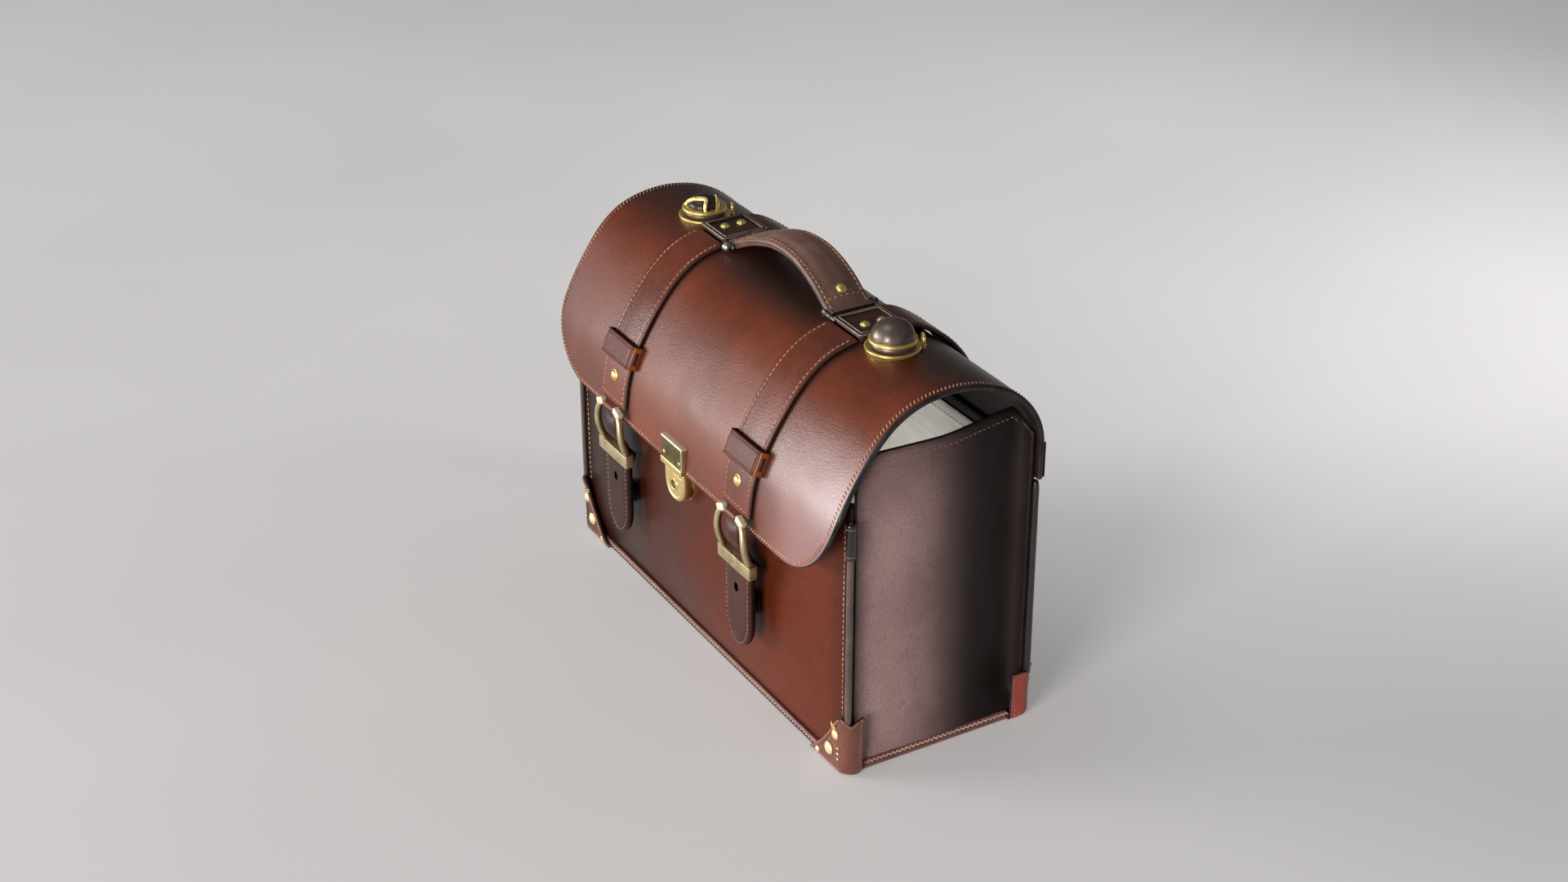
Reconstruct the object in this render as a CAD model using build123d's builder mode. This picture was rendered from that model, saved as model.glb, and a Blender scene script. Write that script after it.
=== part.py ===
from build123d import *
import os

# Leather flap-over doctor bag: a sewn body box, a wrap-over flap hinged at the
# rear seam, two buckle drops, a key lock, two turning knobs and a top handle.
# Frame: X along the length, front face towards -Y, Z up, z = 0 is the floor.

os.makedirs("parts", exist_ok=True)

# ---------------------------------------------------------------- dimensions
BODY_X = 200.0            # half length of the body
FRONT_Y = -74.0           # edge of the front panel
REAR_Y = 75.0             # edge of the back panel
FRONT_BULGE = 16.0        # how far the front panel swells
REAR_BULGE = 3.0          # how far the back panel swells
PANEL_T = 3.0             # body leather
PANEL_Z0, PANEL_Z1 = 6.1, 215.0

FLAP_X = 204.0            # half length of the flap
FLAP_T = 4.0              # flap leather
FLAP_EDGE_Z = 157.0       # front edge of the flap
FLAP_CORNER_R = 52.0
HINGE_Y, HINGE_Z = 85.0, 222.0
FLAP_BULGE = 4.0          # extra forward swell of the flap at mid length

GUSSET_X = 190.0
GUSSET_T = 2.8
GUSSET_TOP_Z = 248.0

STRAP_XC = 93.9           # strap centre
STRAP_W = 37.5
STRAP_T = 3.2
STRAP_END_Z = 168.5

KEEPER_W, KEEPER_H, KEEPER_T = 42.5, 19.0, 2.2

PIVOT_Y, PIVOT_Z = -103.9, 165.0   # buckle pivot pin
PIN_R, PIN_BORE_R = 1.5, 1.56

TONGUE_W, TONGUE_T = 35.0, 4.7
TONGUE_FACE_Y = -97.0
TONGUE_TIP_Z = 56.0

LOCK_X, LOCK_Z = 0.5, 143.0
CYL_R, CYL_BORE_R = 3.4, 3.45

TAB_X0, TAB_X1 = 78.0, 113.0
TAB_Y0, TAB_Y1 = -13.5, 24.0
TAB_TOP_Z = 288.6

HANDLE_Y0, HANDLE_Y1 = -12.6, 22.9
HANDLE_PIN_X, HANDLE_PIN_Z = 67.0, 286.9

KNOB_X, KNOB_Y = 133.0, 0.0
POST_R, POST_BORE_R = 3.0, 3.05


# ------------------------------------------------------------ profile helpers
def left_offset(points, distance):
    """Points moved to the left of their direction of travel."""
    moved = []
    for i, (py, pz) in enumerate(points):
        ay, az = points[max(i - 1, 0)]
        by, bz = points[min(i + 1, len(points) - 1)]
        ty, tz = by - ay, bz - az
        length = (ty * ty + tz * tz) ** 0.5
        moved.append((py - distance * tz / length, pz + distance * ty / length))
    return moved


def flap_points(swell):
    """Outer (y, z) line of the flap, from the rear seam to the front edge."""
    rear = [(79.0, 222.3), (78.8, 226.0), (75.6, 239.0), (67.5, 253.5), (52.0, 268.5),
            (28.0, 280.0), (0.0, 284.0)]
    front = [(-18.0, 282.0, 0.0), (-36.0, 275.8, 0.15), (-52.0, 263.5, 0.35), (-65.0, 247.5, 0.6),
             (-79.5, 224.0, 0.85), (-89.0, 203.5, 1.0), (-93.2, 188.0, 1.0), (-95.4, 172.0, 1.0),
             (-96.5, 157.0, 1.0)]
    return rear + [(y - swell * FLAP_BULGE * w * 0.8, z + swell * FLAP_BULGE * w * 0.35 * (1 - w))
                   for y, z, w in front]


def swell_at(x):
    return 1.0 - (abs(x) / FLAP_X) ** 4


MID_FLAP = flap_points(1.0)                       # flap line under the straps
STRAP_OUTER = left_offset(MID_FLAP, -STRAP_T)


def on_flap(z_wanted):
    """Point and outward normal on the front of the flap at a height."""
    front = [p for p in MID_FLAP if p[0] < -20]
    for (y0, z0), (y1, z1) in zip(front, front[1:]):
        if z1 <= z_wanted <= z0:
            t = (z_wanted - z0) / (z1 - z0)
            ty, tz = y1 - y0, z1 - z0
            length = (ty * ty + tz * tz) ** 0.5
            return (y0 + t * ty, z_wanted), (tz / length, -ty / length)
    raise ValueError("height is off the flap")


# ------------------------------------------------------------------ body box
def panel_rise(z):
    """Swell of a body panel at a height, 0 at its edges and 1 at its belly."""
    table = [(PANEL_Z0, 0.03), (30.0, 0.45), (65.0, 0.86), (105.0, 1.0), (150.0, 0.86),
             (185.0, 0.48), (PANEL_Z1, 0.12)]
    for (z0, r0), (z1, r1) in zip(table, table[1:]):
        if z0 <= z <= z1:
            return r0 + (r1 - r0) * (z - z0) / (z1 - z0)
    return 0.0


PANEL_HEIGHTS = (PANEL_Z0, 30.0, 65.0, 105.0, 150.0, 185.0, PANEL_Z1)
STATIONS = (-1.0, -0.55, 0.0, 0.55, 1.0)

with BuildPart() as front_panel:
    for s in STATIONS:
        swell = FRONT_BULGE * (1 - s * s)
        outer = [(FRONT_Y - swell * panel_rise(z), z) for z in PANEL_HEIGHTS]
        inner = [(y + PANEL_T, z) for y, z in outer]
        with BuildSketch(Plane.YZ.offset(s * BODY_X)):
            with BuildLine():
                a = Spline(*outer)
                b = Spline(*inner)
                Line(a @ 0, b @ 0)
                Line(a @ 1, b @ 1)
            make_face()
    loft()
    with BuildSketch(Plane.XZ.offset(50)):
        with Locations((0, (PANEL_Z0 + 230) / 2)):
            RectangleRounded(2 * BODY_X, 230 - PANEL_Z0, 13.0)
    extrude(amount=70, mode=Mode.INTERSECT)
front_panel.part.label = "front_panel"

with BuildPart() as back_panel:
    for s in STATIONS:
        swell = REAR_BULGE * (1 - s * s)
        outer = [(REAR_Y + swell * panel_rise(z), z) for z in PANEL_HEIGHTS]
        outer = [(y if z < 184 else REAR_Y, z) for y, z in outer]
        inner = [(y - PANEL_T, z) for y, z in outer]
        with BuildSketch(Plane.YZ.offset(s * BODY_X)):
            with BuildLine():
                a = Spline(*outer)
                b = Spline(*inner)
                Line(a @ 0, b @ 0)
                Line(a @ 1, b @ 1)
            make_face()
    loft()
back_panel.part.label = "back_panel"

with BuildPart() as base_panel:
    with BuildSketch(Plane.XY):
        RectangleRounded(2 * 199.4, 2 * 70.8, 6)
    extrude(amount=3.5)
base_panel.part.label = "base_panel"

with BuildPart() as base_board:
    with BuildSketch(Plane.XY.offset(3.6)):
        RectangleRounded(2 * 184, 2 * 66, 5)
    extrude(amount=2.5)
base_board.part.label = "base_board"

# gussets: channel section, both long edges turned outward to meet the panels
UNDER_FLAP = left_offset(flap_points(0.0), FLAP_T + 3.5)
with BuildPart() as gusset_right:
    with BuildSketch(Plane.XY.offset(3.6)):
        with BuildLine() as channel:
            Spline((199.6, -69.2), (193.6, -65.0), (190.4, -52.0), (191.6, -26.0), (192.4, 0.0),
                   (191.6, 26.0), (190.4, 52.0), (193.6, 66.0), (199.6, 70.2))
        trace(line_width=GUSSET_T)
    extrude(amount=GUSSET_TOP_Z - 3.6)
    with BuildSketch(Plane.YZ.offset(180)):
        with BuildLine():
            Polyline(*([(71.2, -2)] + [(71.2, 205.0)] + UNDER_FLAP[1:-4] + [(-70.6, 214), (-70.6, -2)]),
                     close=True)
        make_face()
    extrude(amount=25, mode=Mode.INTERSECT)
gusset_right.part.label = "gusset_right"

with BuildPart() as gusset_left:
    mirror(gusset_right.part, about=Plane.YZ)
gusset_left.part.label = "gusset_left"


# lining: one thin open-topped skin just inside the panels, gussets and base
def lining_shell(gap, bottom, top):
    with BuildPart() as body:
        for s in STATIONS:
            half = 187.0 - gap
            x = s * half
            swell_f = FRONT_BULGE * (1 - (x / BODY_X) ** 2)
            swell_r = REAR_BULGE * (1 - (x / BODY_X) ** 2)
            heights = [bottom, 30.0, 65.0, 105.0, 150.0, 185.0, top]
            front = [(FRONT_Y + PANEL_T + gap - swell_f * panel_rise(min(z, PANEL_Z1)) * 0.93, z) for z in heights]
            rear = [(REAR_Y - PANEL_T - gap + (swell_r * panel_rise(z) if z < 184 else 0.0), z) for z in heights]
            with BuildSketch(Plane.YZ.offset(x)):
                with BuildLine():
                    a = Spline(*front)
                    b = Spline(*rear)
                    Line(a @ 0, b @ 0)
                    Line(a @ 1, b @ 1)
                make_face()
        loft()
    return body.part


lining_outer = lining_shell(0.4, 6.3, 207.0)
lining_inner = lining_shell(1.5, 7.4, 207.6)
with BuildPart() as lining:
    add(lining_outer)
    add(lining_inner, mode=Mode.SUBTRACT)
lining.part.label = "lining"

# corner piping: round cords over the four upright seams
with BuildPart() as piping_front_right:
    with BuildSketch(Plane.XY.offset(47.2)):
        with Locations((203.0, -75.2)):
            Circle(2.5)
    extrude(amount=204.5 - 47.2)
    fillet(piping_front_right.edges().group_by(Axis.Z)[-1], 1.2)
piping_front_right.part.label = "piping_front_right"

with BuildPart() as piping_front_left:
    mirror(piping_front_right.part, about=Plane.YZ)
piping_front_left.part.label = "piping_front_left"

with BuildPart() as piping_rear_right:
    with BuildSketch(Plane.XY.offset(40.4)):
        with Locations((203.2, 74.6)):
            Circle(3.0)
    with BuildSketch(Plane.XY.offset(194.6)):
        with Locations((202.8, 74.6)):
            Circle(2.5)
    loft()
piping_rear_right.part.label = "piping_rear_right"

with BuildPart() as piping_rear_left:
    mirror(piping_rear_right.part, about=Plane.YZ)
piping_rear_left.part.label = "piping_rear_left"

with BuildPart() as piping_sleeves:
    with BuildSketch(Plane.XY.offset(176)):
        with Locations((203.0, -75.2), (-203.0, -75.2)):
            Circle(3.5)
            Circle(2.55, mode=Mode.SUBTRACT)
        Rectangle(2 * 200.1, 200, mode=Mode.SUBTRACT)
    extrude(amount=27)
piping_sleeves.part.label = "piping_sleeves"

# corner caps: stiff leather shells riveted over the four lower corners
FRONT_CAP_Y, CAP_X, CAP_T = -79.4, 206.2, 2.4
with BuildPart() as corner_cap_front_right:
    with BuildSketch(Plane.XY):
        with BuildLine():
            a = Line((156.0, FRONT_CAP_Y), (CAP_X - 10, FRONT_CAP_Y))
            b = RadiusArc(a @ 1, (CAP_X, FRONT_CAP_Y + 10), -10)
            c = Line(b @ 1, (CAP_X, -61.0))
            d = Line(c @ 1, (CAP_X - CAP_T, -61.0))
            e = Line(d @ 1, (CAP_X - CAP_T, FRONT_CAP_Y + 10))
            f = RadiusArc(e @ 1, (CAP_X - 10, FRONT_CAP_Y + CAP_T), 10 - CAP_T)
            g = Line(f @ 1, (156.0, FRONT_CAP_Y + CAP_T))
            Line(g @ 1, a @ 0)
        make_face()
    extrude(amount=47.0)
    with BuildSketch(Plane.XZ.offset(50)):
        with BuildLine():
            a = Spline((158.2, 0.0), (166.4, 6.0), (177.4, 17.0), (187.0, 29.5), (194.0, 40.0), (199.5, 47.0))
            b = Line(a @ 1, (210.0, 47.0))
            c = Line(b @ 1, (210.0, 0.0))
            Line(c @ 1, a @ 0)
        make_face()
    extrude(amount=40, mode=Mode.INTERSECT)
corner_cap_front_right.part.label = "corner_cap_front_right"

with BuildPart() as corner_cap_front_left:
    mirror(corner_cap_front_right.part, about=Plane.YZ)
corner_cap_front_left.part.label = "corner_cap_front_left"

REAR_CAP_Y = 80.2
with BuildPart() as corner_cap_rear_right:
    with BuildSketch(Plane.XY):
        with BuildLine():
            a = Line((166.0, REAR_CAP_Y), (CAP_X - 10, REAR_CAP_Y))
            b = RadiusArc(a @ 1, (CAP_X, REAR_CAP_Y - 10), 10)
            c = Line(b @ 1, (CAP_X, 61.0))
            d = Line(c @ 1, (CAP_X - CAP_T, 61.0))
            e = Line(d @ 1, (CAP_X - CAP_T, REAR_CAP_Y - 10))
            f = RadiusArc(e @ 1, (CAP_X - 10, REAR_CAP_Y - CAP_T), -(10 - CAP_T))
            g = Line(f @ 1, (166.0, REAR_CAP_Y - CAP_T))
            Line(g @ 1, a @ 0)
        make_face()
    extrude(amount=40.0)
    with BuildSketch(Plane.XZ.offset(-100)):
        with BuildLine():
            a = Spline((166.5, 0.0), (173.5, 6.0), (182.0, 14.5), (189.5, 24.5), (195.5, 34.0), (199.5, 40.0))
            b = Line(a @ 1, (210.0, 40.0))
            c = Line(b @ 1, (210.0, 0.0))
            Line(c @ 1, a @ 0)
        make_face()
    extrude(amount=60, mode=Mode.INTERSECT)
corner_cap_rear_right.part.label = "corner_cap_rear_right"

with BuildPart() as corner_cap_rear_left:
    mirror(corner_cap_rear_right.part, about=Plane.YZ)
corner_cap_rear_left.part.label = "corner_cap_rear_left"

# dome-headed rivets that hold the corner caps
with BuildPart() as corner_cap_rivets:
    for x, z, r in ((182.5, 12.0, 4.2), (190.5, 28.5, 3.2), (168.5, 3.6, 2.2)):
        for side in (-1, 1):
            with Locations(Plane((side * x, FRONT_CAP_Y - 0.05, z), z_dir=(0, -1, 0))):
                Cylinder(r, 1.0, align=(Align.CENTER, Align.CENTER, Align.MIN))
            with Locations(Plane((side * x, FRONT_CAP_Y - 1.05, z), z_dir=(0, -1, 0))):
                Cone(r, r * 0.45, r * 0.42, align=(Align.CENTER, Align.CENTER, Align.MIN))
    for x, z, r in ((188.0, 12.0, 4.2), (196.5, 26.0, 3.2)):
        for side in (-1, 1):
            with Locations(Plane((side * x, REAR_CAP_Y + 0.05, z), z_dir=(0, 1, 0))):
                Cylinder(r, 1.0, align=(Align.CENTER, Align.CENTER, Align.MIN))
            with Locations(Plane((side * x, REAR_CAP_Y + 1.05, z), z_dir=(0, 1, 0))):
                Cone(r, r * 0.45, r * 0.42, align=(Align.CENTER, Align.CENTER, Align.MIN))
corner_cap_rivets.part.label = "corner_cap_rivets"

# welts: stitched strips along the bottom edges, between the caps
with BuildPart() as base_welts_long:
    with BuildSketch(Plane.XY):
        with Locations((0, -73.9)):
            Rectangle(2 * 195.0, 6.0)
        with Locations((0, 74.2)):
            Rectangle(2 * 195.0, 6.6)
    extrude(amount=6.0)
    fillet(base_welts_long.edges().filter_by(Axis.X).group_by(Axis.Y)[0], 1.2)
base_welts_long.part.label = "base_welts_long"

with BuildPart() as base_welts_short:
    with BuildSketch(Plane.XY):
        with Locations((201.9, 0), (-201.9, 0)):
            Rectangle(4.8, 121.0)
    extrude(amount=6.0)
base_welts_short.part.label = "base_welts_short"

# rear edge of the flap sewn to the back panel, and the strip over that seam
with BuildPart() as flap_anchor:
    with BuildSketch(Plane.YZ.offset(-FLAP_X)):
        with Locations((77.05, 208.5)):
            Rectangle(3.9, 27.0)
    extrude(amount=2 * FLAP_X)
flap_anchor.part.label = "flap_anchor"

with BuildPart() as rear_seam_strip:
    with BuildSketch(Plane.YZ.offset(-FLAP_X)):
        with Locations((81.2, 208.2)):
            RectangleRounded(4.2, 26.6, 1.4)
    extrude(amount=2 * FLAP_X)
rear_seam_strip.part.label = "rear_seam_strip"

# flat closure discs on the front panel, one under each buckle drop
with BuildPart() as closure_plates:
    for side in (-1, 1):
        with Locations(Plane((side * STRAP_XC, -89.0, 88.0), z_dir=(0, 1, 0))):
            Cylinder(9.0, 1.6, align=(Align.CENTER, Align.CENTER, Align.MIN))
            Cylinder(5.0, 3.0, align=(Align.CENTER, Align.CENTER, Align.MIN))
    add(front_panel.part, mode=Mode.SUBTRACT)
closure_plates.part.label = "closure_plates"

# --------------------------------------------------------------------- lock
CASE_Y0, CASE_Y1, CASE_TOP = -101.0, -91.9, 155.2
with BuildPart() as lock_case:
    with BuildSketch(Plane.XZ.offset(-CASE_Y1)):
        with BuildLine():
            a = Line((LOCK_X - 14.5, CASE_TOP), (LOCK_X + 14.5, CASE_TOP))
            b = Spline(a @ 1, (LOCK_X + 14.2, 143.0), (LOCK_X + 10.5, 134.0), (LOCK_X, 129.6),
                       tangents=((0, -1), (-1, 0)))
            c = Spline(b @ 1, (LOCK_X - 10.5, 134.0), (LOCK_X - 14.2, 143.0), a @ 0,
                       tangents=((-1, 0), (0, 1)))
        make_face()
    extrude(amount=CASE_Y1 - CASE_Y0)
    with BuildSketch(Plane.XZ.offset(-CASE_Y1)):
        with BuildLine():
            a = Line((LOCK_X - 13.1, CASE_TOP - 1.4), (LOCK_X + 13.1, CASE_TOP - 1.4))
            b = Spline(a @ 1, (LOCK_X + 12.8, 143.4), (LOCK_X + 9.4, 135.3), (LOCK_X, 131.1),
                       tangents=((0, -1), (-1, 0)))
            c = Spline(b @ 1, (LOCK_X - 9.4, 135.3), (LOCK_X - 12.8, 143.4), a @ 0,
                       tangents=((-1, 0), (0, 1)))
        make_face()
    extrude(amount=CASE_Y1 - CASE_Y0 - 1.3, mode=Mode.SUBTRACT)
    with BuildSketch(Plane.XY.offset(150)):
        with Locations((LOCK_X, (-99.7 + -93.2) / 2)):
            Rectangle(13.6, 6.5)
    extrude(amount=10, mode=Mode.SUBTRACT)
    with Locations(Plane((LOCK_X, -104, LOCK_Z), z_dir=(0, 1, 0))):
        Cylinder(CYL_BORE_R, 6, align=(Align.CENTER, Align.CENTER, Align.MIN), mode=Mode.SUBTRACT)
lock_case.part.label = "lock_case"

with BuildPart() as lock_backplate:
    with BuildSketch(Plane.XZ.offset(91.8)):
        with BuildLine():
            a = Line((LOCK_X - 14.5, CASE_TOP), (LOCK_X + 14.5, CASE_TOP))
            b = Spline(a @ 1, (LOCK_X + 14.2, 143.0), (LOCK_X + 10.5, 134.0), (LOCK_X, 129.6),
                       tangents=((0, -1), (-1, 0)))
            c = Spline(b @ 1, (LOCK_X - 10.5, 134.0), (LOCK_X - 14.2, 143.0), a @ 0,
                       tangents=((-1, 0), (0, 1)))
        make_face()
    extrude(amount=-6)
    add(front_panel.part, mode=Mode.SUBTRACT)
    lock_back_extra = lock_backplate.solids().sort_by(Axis.Y)[1:]
    if lock_back_extra:
        add(lock_back_extra, mode=Mode.SUBTRACT)
lock_backplate.part.label = "lock_backplate"

# key cylinder with its keyway and the drive pin on its inner end
with BuildPart() as lock_cylinder:
    with Locations(Plane((LOCK_X, -101.6, LOCK_Z), z_dir=(0, 1, 0))):
        Cylinder(CYL_R, 5.4, align=(Align.CENTER, Align.CENTER, Align.MIN))
    with Locations(Plane((LOCK_X, -101.7, LOCK_Z), z_dir=(0, 1, 0))):
        Cylinder(1.15, 3.2, align=(Align.CENTER, Align.CENTER, Align.MIN), mode=Mode.SUBTRACT)
    with Locations((LOCK_X, -100.1, LOCK_Z - 1.4)):
        Box(1.0, 3.2, 2.8, mode=Mode.SUBTRACT)
    with Locations(Plane((LOCK_X + 1.5, -96.3, LOCK_Z - 1.5), z_dir=(0, 1, 0))):
        Cylinder(0.8, 2.6, align=(Align.CENTER, Align.CENTER, Align.MIN))
lock_cylinder.part.label = "lock_cylinder"

# sliding bolt: plate with the pin slot, arm and nose
with BuildPart() as lock_bolt:
    with BuildSketch(Plane.XZ.offset(93.9)):
        with Locations((LOCK_X + 3.8, 142.3)):
            Rectangle(14.4, 5.6)
        with Locations((LOCK_X + 10.4, 148.0)):
            Rectangle(2.2, 10.6)
        with Locations((LOCK_X + 8.3, 152.3)):
            Rectangle(3.4, 2.0)
        with Locations((LOCK_X + 1.5, 141.2)):
            SlotCenterToCenter(1.4, 1.92, rotation=90, mode=Mode.SUBTRACT)
    extrude(amount=1.5)
lock_bolt.part.label = "lock_bolt"

# ----------------------------------------------------------------------- lid
with BuildPart() as flap:
    for x in (-FLAP_X, -0.8 * FLAP_X, -0.5 * FLAP_X, 0.0, 0.5 * FLAP_X, 0.8 * FLAP_X, FLAP_X):
        outer = flap_points(swell_at(x))
        inner = left_offset(outer, FLAP_T)
        with BuildSketch(Plane.YZ.offset(x)):
            with BuildLine():
                a = Spline(*outer)
                b = Spline(*inner)
                Line(a @ 0, b @ 0)
                Line(a @ 1, b @ 1)
            make_face()
    loft()
    for side in (-1, 1):
        with BuildSketch(Plane.XZ.offset(60)):
            with BuildLine():
                a = RadiusArc((side * (FLAP_X - FLAP_CORNER_R), FLAP_EDGE_Z - 0.6),
                              (side * (FLAP_X + 0.4), FLAP_EDGE_Z + FLAP_CORNER_R), -side * FLAP_CORNER_R)
                b = Line(a @ 1, (side * 230, FLAP_EDGE_Z + FLAP_CORNER_R))
                c = Line(b @ 1, (side * 230, 140))
                d = Line(c @ 1, (side * (FLAP_X - FLAP_CORNER_R), 140))
                Line(d @ 1, a @ 0)
            make_face()
        extrude(amount=70, mode=Mode.SUBTRACT)
    with Locations((KNOB_X, KNOB_Y, 280), (-KNOB_X, KNOB_Y, 280)):
        Cylinder(3.6, 14, mode=Mode.SUBTRACT)
flap.part.label = "flap"

# hasp on the flap: face plate, lower lip turned under the edge, notched catch
with BuildPart() as lock_plate:
    with BuildSketch(Plane.XZ.offset(97.2)):
        with Locations((LOCK_X, 167.8)):
            Rectangle(31.0, 21.4)
    extrude(amount=5.4)
    with BuildSketch(Plane.XZ.offset(97.2)):
        with Locations((LOCK_X, 158.6)):
            Rectangle(31.0, 5.8)
    extrude(amount=6.6)
    fillet(lock_plate.edges().filter_by(Axis.X).group_by(Axis.Y)[0], 0.7)
    add(flap.part, mode=Mode.SUBTRACT)
    with BuildSketch(Plane.XY.offset(155.7)):
        with Locations((LOCK_X, -97.4)):
            Rectangle(31.0, 6.8)
    extrude(amount=0.8)
    with BuildSketch(Plane.XZ.offset(94.0)):
        with Locations((LOCK_X, 152.9)):
            Rectangle(12.0, 6.8)
        with Locations((LOCK_X + 5.0, 152.5)):
            Rectangle(3.2, 3.4, mode=Mode.SUBTRACT)
    extrude(amount=1.6)
lock_plate.part.label = "lock_plate"

# cutter: everything under the crown of the flap
with BuildPart() as crown:
    with BuildSketch(Plane.YZ.offset(-200)):
        with BuildLine():
            a = Spline(*left_offset(MID_FLAP, -0.08)[2:12])
            b = Line(a @ 1, (0, 200))
            Line(b @ 1, a @ 0)
        make_face()
    extrude(amount=400)

# front straps: from under the handle tabs down to the flap's edge, ending in
# the roll that carries the buckle pin
FRONT_LINE = [p for p in MID_FLAP if p[0] < -10 and p[1] > 158]
with BuildPart() as strap_front_right:
    line_in = left_offset(MID_FLAP, -0.1)
    line_out = left_offset(MID_FLAP, -0.1 - STRAP_T)
    with BuildSketch(Plane.YZ.offset(STRAP_XC - STRAP_W / 2)):
        with BuildLine():
            a = Spline(*line_in[6:])
            b = Spline(*line_out[6:])
            Line(a @ 0, b @ 0)
            Line(a @ 1, b @ 1)
        make_face()
    extrude(amount=STRAP_W)
    with Locations((STRAP_XC, 0, 290)):
        Box(60, 30.2, 60, mode=Mode.SUBTRACT)
    with Locations((STRAP_XC, -100, STRAP_END_Z)):
        Box(60, 30, 30, align=(Align.CENTER, Align.CENTER, Align.MAX), mode=Mode.SUBTRACT)
    with Locations((STRAP_XC, -101.55, 167.2)):
        Box(14.0, 2.6, 4.0)
    with Locations(Plane((STRAP_XC - 7.0, PIVOT_Y, PIVOT_Z), z_dir=(1, 0, 0))):
        Cylinder(3.05, 14.0, align=(Align.CENTER, Align.CENTER, Align.MIN))
        Cylinder(PIN_BORE_R, 14.0, align=(Align.CENTER, Align.CENTER, Align.MIN), mode=Mode.SUBTRACT)
strap_front_right.part.label = "strap_front_right"

with BuildPart() as strap_front_left:
    mirror(strap_front_right.part, about=Plane.YZ)
strap_front_left.part.label = "strap_front_left"

# rear straps: bowed clear of the flap over the rear shoulder
REAR_OUT = [(25.7, 287.4), (32.0, 286.4), (41.5, 282.2), (52.0, 275.4), (62.5, 267.0), (72.0, 256.5),
            (78.8, 246.5), (82.4, 237.0), (83.3, 229.0), (82.6, 222.4)]
REAR_IN = left_offset(REAR_OUT, -STRAP_T)
with BuildPart() as strap_rear_right:
    with BuildSketch(Plane.YZ.offset(STRAP_XC - STRAP_W / 2)):
        with BuildLine():
            a = Spline(*REAR_OUT)
            b = Spline(*REAR_IN)
            Line(a @ 0, b @ 0)
            Line(a @ 1, b @ 1)
        make_face()
    extrude(amount=STRAP_W)
strap_rear_right.part.label = "strap_rear_right"

with BuildPart() as strap_rear_left:
    mirror(strap_rear_right.part, about=Plane.YZ)
strap_rear_left.part.label = "strap_rear_left"

# keepers: three-sided leather loops over the front straps
(ky, kz), (ny, nz) = on_flap(209.5)
keeper_plane = Plane(origin=(STRAP_XC, ky + 0.9 * ny, kz + 0.9 * nz), x_dir=(1, 0, 0), z_dir=(0, ny, nz))
with BuildPart() as keeper_right:
    with BuildSketch(keeper_plane):
        Rectangle(KEEPER_W, KEEPER_H)
    extrude(amount=7.4)
    with BuildSketch(keeper_plane.offset(-1)):
        Rectangle(KEEPER_W - 2 * KEEPER_T, KEEPER_H + 4)
    extrude(amount=7.4 - KEEPER_T + 1, mode=Mode.SUBTRACT)
keeper_right.part.label = "keeper_right"

with BuildPart() as keeper_left:
    mirror(keeper_right.part, about=Plane.YZ)
keeper_left.part.label = "keeper_left"

# handle tabs: metal bezels with lugs for the handle pins, leather patches
with BuildPart() as tab_bezel_right:
    with BuildSketch(Plane.XY.offset(276)):
        with Locations(((TAB_X0 + TAB_X1) / 2, (TAB_Y0 + TAB_Y1) / 2)):
            RectangleRounded(TAB_X1 - TAB_X0, TAB_Y1 - TAB_Y0, 2.0)
            Rectangle(TAB_X1 - TAB_X0 - 5.0, TAB_Y1 - TAB_Y0 - 5.0, mode=Mode.SUBTRACT)
    extrude(amount=TAB_TOP_Z - 276)
    with BuildSketch(Plane.XY.offset(276)):
        with Locations((71.5, -13.75), (71.5, 24.05)):
            Rectangle(17.2, 1.9)
    extrude(amount=TAB_TOP_Z - 0.4 - 276)
    add(crown.part, mode=Mode.SUBTRACT)
    with Locations(Plane((HANDLE_PIN_X, -20, HANDLE_PIN_Z), z_dir=(0, 1, 0))):
        Cylinder(1.75, 60, align=(Align.CENTER, Align.CENTER, Align.MIN), mode=Mode.SUBTRACT)
tab_bezel_right.part.label = "tab_bezel_right"

with BuildPart() as tab_bezel_left:
    mirror(tab_bezel_right.part, about=Plane.YZ)
tab_bezel_left.part.label = "tab_bezel_left"

with BuildPart() as tab_patch_right:
    with BuildSketch(Plane.XY.offset(276)):
        with Locations(((TAB_X0 + TAB_X1) / 2, (TAB_Y0 + TAB_Y1) / 2)):
            Rectangle(TAB_X1 - TAB_X0 - 5.2, TAB_Y1 - TAB_Y0 - 5.2)
    extrude(amount=TAB_TOP_Z - 0.9 - 276)
    add(crown.part, mode=Mode.SUBTRACT)
tab_patch_right.part.label = "tab_patch_right"

with BuildPart() as tab_patch_left:
    mirror(tab_patch_right.part, about=Plane.YZ)
tab_patch_left.part.label = "tab_patch_left"

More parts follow.
